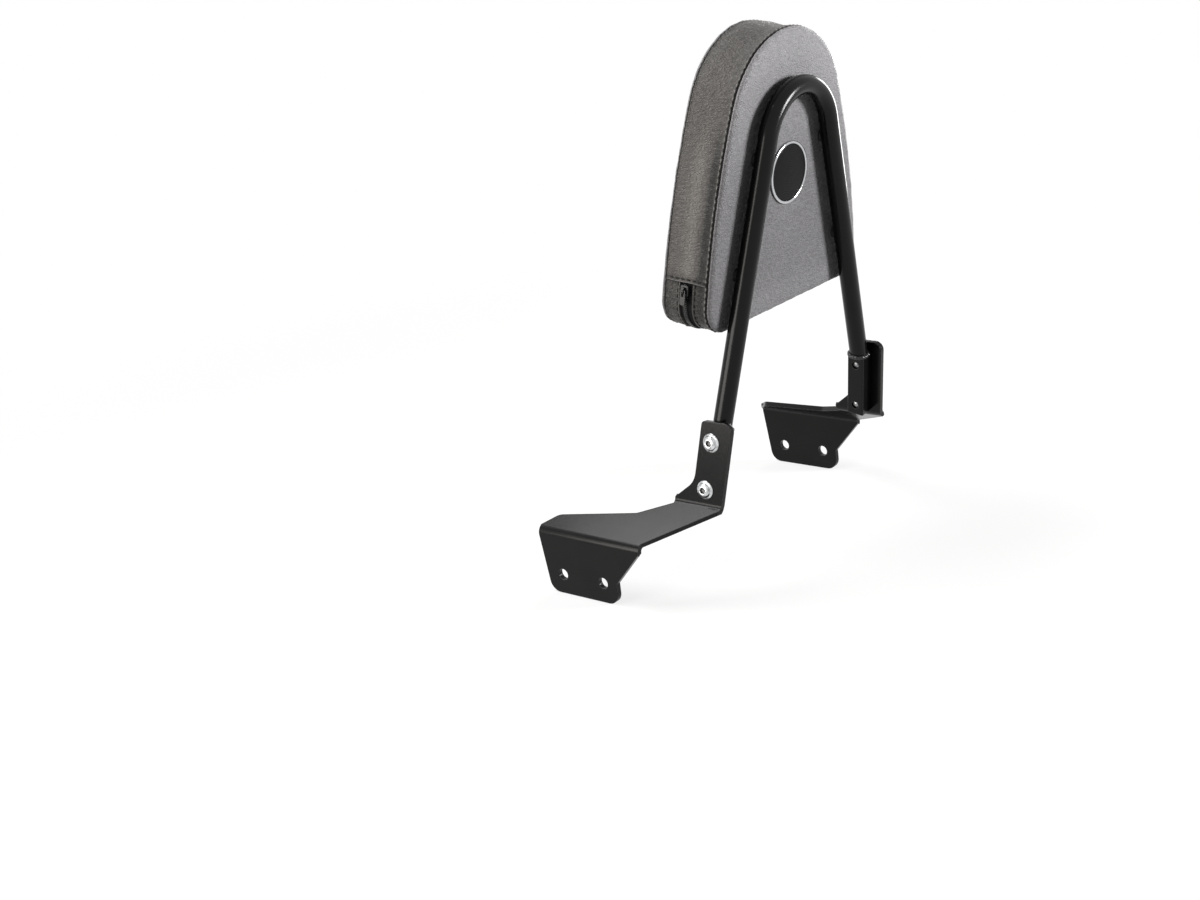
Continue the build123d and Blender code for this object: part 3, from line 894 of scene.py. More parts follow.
@dataclass
class OnPad:
    """What the pad, its zip and its badge share: the layout in units of the drawing."""

    shop: Workshop
    plane: HoopPlane = HoopPlane()
    outline: PadOutline = PadOutline()
    back: float = 10.5
    zip_ahead: float = 37.5

    def patch(self, points: Array, closed: bool = False, marks: dict[str, Array] | None = None) -> Patch:
        """Patch of points across, up and ahead by row and column, placed in the frame."""
        return Patch.of_grid(self.plane.place(points), closed, marks)

    def copies(self, shape: Array, origins: Array, axes: Array) -> Patch:
        """Copies of a small shape on the pad, placed in the frame."""
        made = Patch.repeated(shape, origins, axes)
        return Patch(self.plane.place(made.points), made.faces)


@dataclass
class Relief:
    """Sewn relief of the pad's cover and the marks of its finish, by row and column: painted shade in the
    seams, the zip's slot and under the folds, painted highlights on their lips, and painted light over the
    band and panels.

    A seam is a bell-shaped groove between two low lips, drawn in a little at each stitch. The slot of the
    zip is sunk between two folded edges, and the band above a cross seam is folded over the one below. The
    band is drawn in beside the back seam and swells ahead of it, and slow waves run over the sides.
    """

    pad: "Pad"
    number: Array
    run: Array
    near_lip: Bell = Bell(0.55, 1.5, 0.75)
    far_lip: Bell = Bell(0.385, -2.8, 1.6)
    groove: Bell = Bell(-1.5, 0.0, 0.95)
    pucker: Bell = Bell(0.22, 1.3, 1.3)
    seam_shade: Bell = Bell(1.0, -0.1, 0.9025)
    # Painted highlights: beside the back seam between stitches, on the slot's folds and on the cross folds'
    # edges
    lip_highlight: Bell = Bell(1.0, 1.6, 0.55)
    seam_reach: Bell = Bell(1.0, 0.0, 2.0)
    panel_fade: float = 3.0
    slot_fold: Bell = Bell(0.8, 0.9, 1.1)
    slot_depth: float = 2.1
    slot_wall: Pair = (-0.15, 0.45)
    slot_end: Pair = (-0.2, 0.6)
    # Painted shade along the slot's stitches
    slot_stitch_shade: Bell = Bell(0.6, 2.5, 0.5)
    slot_highlight: Bell = Bell(0.22, 0.55, 0.5)
    cross_fold: Bell = Bell(1.1, 0.0, 9.0)
    cross_edge: Pair = (-0.3, 0.3)
    cross_groove: Bell = Bell(-0.5, 2.8, 0.7)
    cross_shade: Bell = Bell(0.8, -0.45, 0.4)
    cross_highlight: Bell = Bell(0.55, 0.4, 0.5)
    cross_stitching: Bell = Bell(0.9, 2.8, 0.8)
    stitch_ends: Pair = (-0.35, 0.35)
    valley: Pair = (1.5, 14.0)
    hollow: float = 2.8
    far_slope: float = 25.0
    softness: float = 6.0
    swell: Bell = Bell(1.2, 33.0, 8.0)
    tight_heights: Pair = (140.0, 195.0)
    low_reach: float = 14.0
    # Painted light: a highlight on the band's swell, shade in its hollow, the panels lighter at their top and
    # rim
    crest_highlight: Bell = Bell(0.50, 24.0, 7.5)
    hollow_shade: Bell = Bell(-0.40, 7.0, 6.5)
    even_level: float = 0.42
    top_highlight: float = 0.80
    top_heights: Pair = (95.0, 245.0)
    rim_highlight: float = 0.18
    rim_share: Pair = (0.10, 0.35)
    seam_blur: float = 0.02
    wave_height: float = 0.13
    wave_sizes: Pair = (14.0, 55.0)
    wave_count: int = 9
    wave_seed: int = 11

    def __post_init__(self) -> None:
        """Work out what the steps share. Values along rows stand upright, values along runs lie flat."""
        cut = self.pad.section(self.number)
        self.share, self.ahead = cut["share"][:, None], cut["ahead"][:, None]
        self.along = lengths(np.stack([cut["inset"], cut["ahead"]], axis=1))
        self.seams = [(self.along - np.interp(at, self.number, self.along))[:, None] for at in (2.0, 3.0)]
        self.clear = 1.0 - self.seam_reach.at(np.minimum(*np.abs(self.seams)))
        self.flat = 1.0 - np.clip(self.share * self.panel_fade, 0.0, 1.0)
        self.on_band = ((self.number > 2.0) & (self.number < 3.0)).astype(float)[:, None]
        self.across = self.ahead - self.pad.first_seam
        from_foot = np.minimum(self.run, self.pad.around - self.run)[None]
        self.above = from_foot - self.pad.zip_run
        self.low = smooth_step(-self.above, -self.low_reach, 0.0)
        tight_runs = (self.pad.outline.run_to(height) for height in self.tight_heights)
        self.tight = smooth_step(from_foot, *tight_runs)
        self.lift, self.dark, self.painted_highlight = np.zeros((3, len(self.number), len(self.run)))

    def shade(self, dark: Array, painted_highlight: Array) -> None:
        """Add painted shade and painted highlights to the cover, where the marks given are above those it
        has.
        """
        np.maximum(self.dark, dark, out=self.dark)
        np.maximum(self.painted_highlight, painted_highlight, out=self.painted_highlight)

    def sew_seams(self) -> None:
        """Sink both seams between their lips and pucker them at each stitch. The grooves get painted shade,
        and a painted highlight beside the back one is broken at each stitch.
        """
        stitch = np.cos(self.run * math.tau / self.pad.stitch_pitch)[None]
        # Painted highlight beside the back seam, broken at each stitch
        painted_highlight = self.lip_highlight.at(self.seams[0]) * (0.5 - 0.5 * stitch)
        for away in (self.seams[0], -self.seams[1]):
            self.lift += self.near_lip.at(away) + self.far_lip.at(away) + self.groove.at(away)
            self.lift += stitch * self.pucker.at(np.abs(away))
            self.shade(self.seam_shade.at(away), painted_highlight)
        for values in (self.lift, self.dark, self.painted_highlight):
            values *= self.flat

    def sink_slot(self) -> None:
        """Sink the zip's slot into the band, with a fold and a line of stitches along both edges, painted
        shade on its floor and along the stitches, and a painted highlight on the folds.
        """
        away = np.abs(self.ahead - self.pad.zip_ahead) - self.pad.slot_width / 2.0
        zipped = smooth_step(-self.above, *self.slot_end) * self.on_band
        sunk = smooth_step(-away, *self.slot_wall)
        self.lift += zipped * (self.slot_fold.at(away) - self.slot_depth * sunk)
        # Painted shade on the slot's floor and along its stitches
        dark = np.maximum(sunk, self.slot_stitch_shade.at(away))
        self.shade(zipped * dark, zipped * self.slot_highlight.at(away))

    def fold_cross_seams(self) -> None:
        """Fold the band over at both cross seams, with painted shade under the edge, a painted highlight on
        it, and a sunk line of dark stitches above it.
        """
        over = smooth_step(self.above, *self.cross_edge) * self.cross_fold.at(np.maximum(self.above, 0.0))
        self.lift += self.on_band * (self.clear * over + self.cross_groove.at(self.above))
        dash = np.cos((self.across - self.pad.first_stitch) * (math.tau / self.pad.stitch_pitch))
        stitching = smooth_step(dash, *self.stitch_ends) * self.cross_stitching.at(self.above)
        # Painted shade under the fold's edge, and the dark stitch dashes
        dark = np.maximum(self.cross_shade.at(self.above), self.clear * stitching)
        self.shade(self.on_band * dark, self.on_band * self.clear * self.cross_highlight.at(self.above))

    def draw_in_band(self) -> None:
        """Draw the band in beside the back seam, less towards the top and the zip.

        The hollow is a soft maximum of two slopes, a straight one up to the seam and a quarter of a sine wave
        ahead of the valley. A bell-shaped swelling is added.
        """
        near, valley = self.valley
        inner = (valley - np.maximum(self.across, near)) / (valley - near)
        outer = np.sin(np.clip((self.across - valley) / self.far_slope, -1.0, 1.0) * (math.pi / 2.0))
        slope = np.logaddexp(inner * self.softness, outer * self.softness) / self.softness
        drawn = self.hollow * (slope - 1.0) + self.swell.at(self.across)
        self.lift += self.on_band * drawn * (1.0 - 0.5 * self.tight - 0.6 * self.low)

    def painted_light(self) -> Array:
        """Painted light on the cover: a painted highlight on the band where it swells, painted shade in its
        hollow beside the back seam and darker towards the zip, and the panels painted lighter towards their
        top and rim.

        Returns:
            The mark, more where the cover is paler.
        """
        up = self.pad.surface(self.number, self.run, np.zeros_like(self.lift))[:, :, 1]
        # Painted highlight on the swell and painted shade in the hollow beside the back seam
        rubbed = self.crest_highlight.at(self.across) + self.hollow_shade.at(self.across)
        band = rubbed * (1.0 - 0.85 * self.tight - 0.6 * self.low) - 0.2 * self.low
        rim = 1.0 - smooth_step(self.share, *self.rim_share)
        panel = self.top_highlight * smooth_step(up, *self.top_heights) + self.rim_highlight * rim
        return self.even_level + self.on_band * band + (1.0 - self.on_band) * panel

    def waves(self) -> Array:
        """Slow waviness: a sum of sine waves that slant across the cover, with seeded lengths and phases.

        Returns:
            The waves by row and column.
        """
        dice = np.random.default_rng(self.wave_seed)
        ranges = (self.wave_sizes, (-1.0, 1.0), (0.0, 6.3))
        sizes, slants, phases = (dice.uniform(*ends, self.wave_count) for ends in ranges)
        total = np.zeros_like(self.lift)
        for size, slant, phase in zip(sizes, slants, phases):
            total += np.sin(math.tau * (self.run[None] + slant * self.along[:, None]) / size + phase)
        return total / math.sqrt(self.wave_count)

    def build(self) -> dict[str, Array]:
        """Take all steps in turn.

        Returns:
            The marks of the finish: painted shade and dark stitch dashes in the seams, painted highlights on
                the lips, the band,
            and painted light.
        """
        self.sew_seams()
        self.sink_slot()
        self.fold_cross_seams()
        self.draw_in_band()
        self.lift += self.wave_height * self.flat * self.waves()
        start, end = (smooth_step(self.number, at - self.seam_blur, at + self.seam_blur) for at in (2.0, 3.0))
        band = np.broadcast_to((start * (1.0 - end))[:, None], self.lift.shape)
        dark, painted_highlight = (np.clip(values, 0.0, 1.0) for values in (self.dark, self.painted_highlight))
        return {"seam": dark, "painted_lip_highlight": painted_highlight, "band": band, "painted_light": self.painted_light()}


@dataclass
class Pad(OnPad):
    """Sewn pad: a back panel, a side band and a crowned front panel, with a zip let into the band.

    A point of the cover is found by its run along the outline and by a section number: 0 to 1 across the
    back panel, 1 to 2 round the back roll, 2 to 3 over the band, 3 to 4 round the front roll and 4 to 5
    across the front panel. The seams lie at 2 and 3.
    """

    front: float = 70.0
    back_roll: Pair = (5.2, 4.4)
    front_roll: Pair = (13.0, 9.0)
    roll_lengths: Pair = (7.6, 17.5)
    spine: Pair = (88.0, 171.0)
    middle: Triple = (0.0, 125.0, 40.0)
    zip_top: float = 48.0
    slot_width: float = 13.0
    zip_hold: float = 13.0
    board_slack: float = 0.03
    stitch_pitch: float = 6.0
    first_stitch: float = 3.0
    cross_stitches: float = 2.8
    slot_stitches: float = 2.5
    thread: Triple = (2.1, 0.52, 0.30)
    thread_sink: float = 0.12
    stitch_margins: Pair = (2.0, 2.5)
    columns: int = 760
    rear_end: float = 1.6
    band_margin: float = 4.8
    even_rows: tuple[tuple[float, float, int], ...] = (
        (0.0, 1.0, 11), (1.0, 1.5, 5), (3.25, 4.0, 9), (4.0, 5.0, 13))
    seam_rows: tuple[float, ...] = (0.0, 0.3, 0.6, 0.95, 1.4, 2.0, 2.8, 3.8)
    slot_rows: tuple[float, ...] = (-3.0, -2.2, -1.5, -1.0, -0.6, -0.3, 0.0, 0.3, 0.6, 1.0)
    cross_rows: tuple[float, ...] = (
        -1.8, -1.2, -0.8, -0.5, -0.25, 0.0, 0.25, 0.5, 0.8, 1.2, 1.8, 2.4, 3.0, 3.6)
    cloth_columns: int = 150
    cloth_rows: tuple[int, ...] = (10, 4, 11, 5, 10)
    cloth_steps: int = 20
    side_pressure: float = 0.25
    swell_cap: float = 7.0
    evenings: int = 4

    def __post_init__(self) -> None:
        """Work out the lengths that several methods share."""
        self.around = self.outline.length()
        self.zip_run = self.outline.run_to(self.zip_top)
        self.first_seam = self.back + self.back_roll[1]
        self.second_seam = self.front - self.front_roll[1]

    def band_number(self, ahead: Array) -> Array:
        """Section number of a place on the band, by how far ahead it lies."""
        return 2.0 + (ahead - self.first_seam) / (self.second_seam - self.first_seam)

    def section(self, number: Array) -> dict[str, Array]:
        """Section of the pad: quarter ellipses for the two rolls, straight lines between.

        Args:
            number: section numbers.

        Returns:
            inset from the outline, ahead of the hoop's plane, share of the way to the panel's spine, and
            tilt, the angle of the outward normal from the outline's plane.
        """
        panel, first, band, second, front = (np.clip(number - start, 0.0, 1.0) for start in range(5))
        first, second = first * (math.pi / 2.0), second * (math.pi / 2.0)
        return {
            "inset": self.back_roll[0] * (1.0 - np.sin(first)) + self.front_roll[0] * (1.0 - np.cos(second)),
            "ahead": self.back + self.back_roll[1] * (1.0 - np.cos(first))
            + (self.second_seam - self.first_seam) * band + self.front_roll[1] * np.sin(second),
            "share": 1.0 - panel + front,
            "tilt": first + second - math.pi / 2.0,
        }

    def surface(self, number: Array, run: Array, lift: Array) -> Array:
        """Cover before it settles.

        Each point leaves the outline along its inward normal by the section's inset, is drawn towards the
        panel's spine by the section's share, and is lifted along the outward normal.

        Args:
            number: section numbers, one for each row.
            run: lengths along the outline, one for each column.
            lift: outward lift of each point.

        Returns:
            Points across, up and ahead, by row and column.
        """
        cut = {name: values[:, None] for name, values in self.section(number).items()}
        points, inward = self.outline.at(run)
        inset = cut["inset"] - lift * np.cos(cut["tilt"])
        ring = points[None] + inward[None] * inset[:, :, None]
        spine = np.stack([np.zeros(len(run)), np.clip(points[:, 1], *self.spine)], axis=1)
        ring = ring + (spine[None] - ring) * cut["share"][:, :, None]
        ahead = cut["ahead"] + lift * np.sin(cut["tilt"])
        return np.concatenate([ring, ahead[:, :, None]], axis=2)

    def stepped(self, cloth: bpy.types.Object, place: Array) -> Array:
        """Hold a cover along its two seams and over the board behind it, press it out and step it as cloth.

        Args:
            cloth: the cover, which is taken out of the scene afterwards.
            place: section number of each of its points.

        Returns:
            Its points after the last step.
        """
        for name, chosen, weight in (
            ("held", (place <= 1.0) | np.isin(place, (2.0, 3.0)), 1.0),
            ("press", place > 3.0, 1.0),
            ("press", place <= 3.0, self.side_pressure),
        ):
            group = cloth.vertex_groups.get(name) or cloth.vertex_groups.new(name=name)
            group.add(np.flatnonzero(chosen).tolist(), weight, "REPLACE")
        settling = cloth.modifiers.new("settling", "CLOTH")
        rules = {
            "quality": 6, "mass": 0.25, "tension_stiffness": 18.0, "compression_stiffness": 18.0,
            "bending_stiffness": 0.6, "vertex_group_mass": "held", "use_pressure": True,
            "uniform_pressure_force": 4.0, "vertex_group_pressure": "press",
        }
        for rule, value in rules.items():
            setattr(settling.settings, rule, value)
        settling.settings.effector_weights.gravity = 0.0
        settling.collision_settings.use_collision = False
        for frame in range(1, self.cloth_steps + 1):
            bpy.context.scene.frame_set(frame)
        still = cloth.evaluated_get(bpy.context.evaluated_depsgraph_get()).to_mesh()
        moved = np.empty(len(still.vertices) * 3)
        still.vertices.foreach_get("co", moved)
        bpy.data.objects.remove(cloth)
        bpy.context.scene.frame_set(1)
        return moved.reshape(-1, 3)

    def settled(self) -> tuple[Array, Array]:
        """Movement of the cover as cloth over its filling.

        A coarse cover is stepped as cloth. The movement of each point is capped and evened out along the
        outline.

        Returns:
            The section numbers of the coarse rows, and the movement by row and column.
        """
        spans = [np.linspace(start, start + 1.0, count) for start, count in enumerate(self.cloth_rows)]
        numbers = np.unique(np.concatenate(spans))
        run = np.arange(self.cloth_columns) * self.around / self.cloth_columns
        start = self.surface(numbers, run, np.zeros((len(numbers), len(run))))
        patch = Patch.of_grid(start * CLOTH_UNIT)
        first, inverse = joined(patch.points)
        cloth = self.shop.mesh("cover_settling", patch)
        moved = self.stepped(cloth, np.repeat(numbers, len(run))[first])
        move = moved[inverse].reshape(start.shape) / CLOTH_UNIT - start
        reach = np.linalg.norm(move, axis=2, keepdims=True)
        LOG.info("cover settled by up to %.1f units", float(reach.max()))
        move *= np.minimum(1.0, self.swell_cap / np.maximum(reach, TINY))
        for _ in range(self.evenings):
            move = (np.roll(move, 1, axis=1) + 2.0 * move + np.roll(move, -1, axis=1)) / 4.0
        return numbers, move

    def rows(self) -> Array:
        """Rows of the fine cover, close together at the seams and at the edges of the zip's slot.

        Returns:
            Their section numbers.
        """
        near, edge, half = np.array(self.seam_rows), np.array(self.slot_rows), self.slot_width / 2.0
        ahead = np.concatenate([
            self.first_seam + near, self.second_seam - near,
            self.zip_ahead - half + edge, self.zip_ahead + half - edge,
            np.linspace(self.first_seam + self.band_margin, self.second_seam - self.band_margin, 26)])
        back, front = self.roll_lengths
        numbers = [self.band_number(ahead), 2.0 - near[1:] / back, 3.0 + near[1:] / front]
        numbers += [np.linspace(*span) for span in self.even_rows]
        return np.unique(np.round(np.concatenate(numbers), 5))

    def runs(self) -> Array:
        """Columns of the fine cover, close together at the two cross seams.

        Returns:
            Their lengths along the outline.
        """
        even = np.arange(self.columns) * self.around / self.columns
        right = self.zip_run + np.array(self.cross_rows)
        return np.unique(np.round(np.concatenate([even, right, self.around - right]), 4))

    def cover(self) -> tuple[Array, Array, Array]:
        """Finished cover with its relief and the settled cloth's movement, which the zip holds back.

        Returns:
            Points across, up and ahead by row and column, the section numbers and the runs.
        """
        number, run = self.rows(), self.runs()
        relief = Relief(self, number, run)
        marks = relief.build()
        coarse, move = self.settled()
        move = cubic_rows(move, np.interp(number, coarse, np.arange(len(coarse))), False)
        columns = run * self.cloth_columns / self.around
        move = np.swapaxes(cubic_rows(np.swapaxes(move, 0, 1), columns, True), 0, 1)
        held = relief.low * Bell(1.0, self.zip_ahead, self.zip_hold).at(relief.ahead)
        points = self.surface(number, run, relief.lift) + move * (1.0 - held)[:, :, None]
        rear = number < self.rear_end
        points[rear, :, 2] = np.maximum(points[rear, :, 2], self.back - self.board_slack)
        patch = self.patch(points, marks=marks)
        piece = self.shop.add("pad_sewn_cover", patch, Leatherette(), Slot.COVER, "pad_cover", "pad_foam")
        return points, number, run

    def stitch_lines(self) -> list[tuple[Array, Array, bool]]:
        """Lines of stitches along both seams, beside the zip and above the cross seams.

        Returns:
            For each line its section numbers, its runs, and whether it runs across the band.
        """
        ring = np.arange(0.0, self.around, self.around / round(self.around / self.stitch_pitch))
        zip_end, seam_end = self.stitch_margins
        beside = np.arange(-self.zip_run + zip_end, self.zip_run - zip_end, self.stitch_pitch)
        level = np.arange(self.first_seam + self.first_stitch, self.second_seam - seam_end, self.stitch_pitch)
        half = self.slot_width / 2.0 + self.slot_stitches
        cross = self.zip_run + self.cross_stitches
        lines = [(np.full(len(ring), seam), ring, False) for seam in (2.0, 3.0)]
        for ahead in (self.zip_ahead - half, self.zip_ahead + half):
            number = np.full(len(beside), self.band_number(ahead))
            lines.append((number, np.mod(beside, self.around), False))
        for at in (cross, self.around - cross):
            lines.append((self.band_number(level), np.full(len(level), at), True))
        return lines

    def stitches(self, points: Array, number: Array, run: Array) -> None:
        """Threads along all lines of stitches.

        Each thread is a bent capsule: its radius follows a flattened circle along its length and its middle
        stands proud of its ends.

        Args:
            points: the cover by row and column.
            number: section numbers of the rows.
            run: lengths of the columns.
        """
        normal = unit(np.cross(np.gradient(points, axis=1), np.gradient(points, axis=0)))
        normal *= np.sign(np.einsum("ijk,ijk->ij", normal, points - np.array(self.middle)))[:, :, None]
        half, thick, rise = self.thread
        station, side = grid(np.linspace(-1.0, 1.0, 7), turns(6))
        radius = thick * np.sqrt(np.maximum(1.0 - station**6, 1e-4))
        high = radius * np.sin(side) + rise * (1.0 - station**2) - self.thread_sink
        thread = np.stack([half * station, radius * np.cos(side), high], axis=2)
        origins, axes = [], []
        for section, at, crosswise in self.stitch_lines():
            r = np.round(np.interp(section, number, np.arange(len(number)))).astype(int)
            c = np.round(np.interp(at, run, np.arange(len(run)))).astype(int) % len(run)
            here, up = points[r, c], normal[r, c]
            if crosswise:
                toward = points[np.minimum(r + 1, len(number) - 1), c] - here
            else:
                toward = points[r, (c + 1) % len(run)] - points[r, c - 1]
            toward = unit(toward - up * np.einsum("ij,ij->i", toward, up)[:, None])
            origins.append(here + up * self.thread_sink)
            axes.append(np.stack([toward, np.cross(up, toward), up], axis=1))
        patch = self.copies(thread, np.concatenate(origins), np.concatenate(axes))
        self.shop.add("pad_stitches", patch, THREAD, Slot.COVER)

    def build(self) -> None:
        """Make the cover and its stitches, and dress the hidden filling."""
        self.stitches(*self.cover())
        self.shop.dress(PLYWOOD, "pad_board")
        self.shop.dress(FOAM, "pad_foam")
        self.shop.dress(ZincPlate(), "pad_washers", "pad_screws")
        # The bushes take the darker zinc: painted shade
        self.shop.dress(SHADED_ZINC, "pad_bushes")


@dataclass
class Zip(OnPad):
    """Zip round the pad's lower edge: woven tape, two rows of moulded teeth, slider and puller."""

    top: float = 47.2
    pitch: float = 1.8
    tooth: Triple = (0.74, 2.75, 2.0)
    tooth_overlap: float = 0.35
    tooth_reach: tuple[float, ...] = (0.0, 0.04, 0.34, 0.62, 0.96, 1.0)
    tooth_girth: tuple[float, ...] = (0.02, 0.9, 0.8, 1.0, 0.9, 0.02)
    tape_depth: float = 0.85
    tape_underside: float = 1.1
    tape_across: tuple[float, ...] = (2.4, 3.3, 4.68, 5.76, 6.0)
    tape_fall: tuple[float, ...] = (0.0, 0.12, 0.42, 0.5, 0.75)
    tape_steps: int = 260

    def teeth(self) -> Patch:
        """Two rows of teeth that interlock on the zip's line.

        A tooth is a rounded bar from the tape towards the line, with a thicker head: a flattened circle of
        eight points carried over six stations, closed at both ends.

        Returns:
            All teeth as one patch.
        """
        width, length, height = self.tooth
        reach, girth = np.array(self.tooth_reach)[:, None], np.array(self.tooth_girth)[:, None]
        flank, crown = flattened(turns(8), 0.6)
        along = girth * flank * width / 2.0
        high = (girth * crown * 0.5 + 0.5) * height - self.tape_depth
        inward = np.broadcast_to(length * (1.0 - reach) - self.tooth_overlap, along.shape)
        end = self.outline.run_to(self.top)
        places = np.arange(-end + 1.0, end - 1.0, self.pitch)
        flat = np.zeros((len(places), 1))
        origins, axes = [], []
        for side, shift in ((1.0, 0.0), (-1.0, self.pitch / 2.0)):
            points, normal = self.outline.at(places + shift)
            out = np.concatenate([-normal, flat], axis=1)
            along_line = np.concatenate([normal[:, 1:], -normal[:, :1], flat], axis=1)
            across = np.broadcast_to(np.array([0.0, 0.0, side]), out.shape)
            origins.append(np.concatenate([points, flat + self.zip_ahead], axis=1))
            axes.append(np.stack([along_line, across, out], axis=1))
        shape = np.stack([along, inward, high], axis=2)
        return self.copies(shape, np.concatenate(origins), np.concatenate(axes))

    def tape(self) -> Patch:
        """Woven tape under the teeth.

        A closed profile across the zip, highest beside the teeth and rolled down at both edges, is carried
        along the outline at a depth below it, and both ends are drawn to a point.

        Returns:
            The tape's patch.
        """
        half, fall = np.array(self.tape_across), np.array(self.tape_fall)
        across, fall = np.append(-half[::-1], half), np.append(fall[::-1], fall)
        under = np.full(len(across), self.tape_underside)
        across, depth = np.append(across, across[::-1] * 0.98), self.tape_depth + np.append(fall, under)
        end = self.outline.run_to(self.top)
        run = np.linspace(-end, end, self.tape_steps)
        points, normal = self.outline.at(np.concatenate([[-end], run, [end]]))
        ring = points[:, None, :] + normal[:, None, :] * depth[None, :, None]
        ahead = np.broadcast_to(self.zip_ahead + across, ring.shape[:2])
        strip = np.concatenate([ring, ahead[:, :, None]], axis=2)
        strip[[0, -1]] = strip[[1, -2]].mean(axis=1, keepdims=True)
        return self.patch(strip)

    def build(self) -> None:
        """Make the teeth and the tape, and dress slider and puller."""
        self.shop.add("zip_moulded_teeth", self.teeth(), MOULDING, Slot.TEETH, "zip_chain")
        self.shop.add("zip_woven_tape", self.tape(), ZipCloth(), Slot.TAPE, "zip_tape")
        self.shop.dress(WornEnamel(), "zip_slider", "zip_puller")


@dataclass
class HoopFrame:
    """Hoop, end bars, welds and brackets under one powder coat, in units of the drawing and degrees."""

    shop: Workshop
    foot: Triple = (116.7757, -127.1955, 143.1807)
    lean_in: float = 7.5
    rake_back: float = 10.0
    weld_radius: float = 9.2
    bead: float = 2.3
    ripples: int = 21
    ripple_sizes: Pair = (0.86, 0.2)
    ripple_slant: float = 0.35
    tab_inner: float = 9.3

    def weld(self, side: float) -> Patch:
        """Rippled weld bead round the foot of a leg.

        The bead is a ring of small circles about the leg's foot. Their radius follows the absolute sine of
        the angle, which gives the scallops of a hand weld, and the bead is dressed flat against the tab.

        Args:
            side: 1 for the right leg, -1 for the left.

        Returns:
            The bead's patch.
        """
        lean, rake = math.radians(self.lean_in), math.radians(self.rake_back)
        out = np.array([math.cos(lean), 0.0, math.sin(lean)])
        up = np.array([-math.sin(lean) * math.cos(rake), -math.sin(rake), math.cos(lean) * math.cos(rake)])
        turn, lobe = grid(turns(168), turns(12))
        scallop = np.abs(np.sin(turn * self.ripples / 2.0 + self.ripple_slant * np.sin(lobe)))
        size = self.bead * (self.ripple_sizes[0] + self.ripple_sizes[1] * scallop)
        away = self.weld_radius + size * np.cos(lobe)
        outward = np.minimum(away * np.cos(turn), self.tab_inner)
        steps = np.stack([outward, away * np.sin(turn), size * np.sin(lobe)], axis=2)
        points = np.array(self.foot) + steps @ np.stack([out, np.cross(up, out), up])
        return Patch.of_grid(points * np.array([side, 1.0, 1.0]) * UNIT, closed=True)

    def build(self) -> None:
        """Dress the steel and make both welds."""
        steel = ("hoop_tube", "left_end_bar", "right_end_bar", "left_bracket", "right_bracket")
        self.shop.dress(PowderCoat(), *steel)
        for name, side in (("left_weld", -1.0), ("right_weld", 1.0)):
            self.shop.add(name + "_ripples", self.weld(side), WELD_COAT, Slot.COAT, name + "_bead")


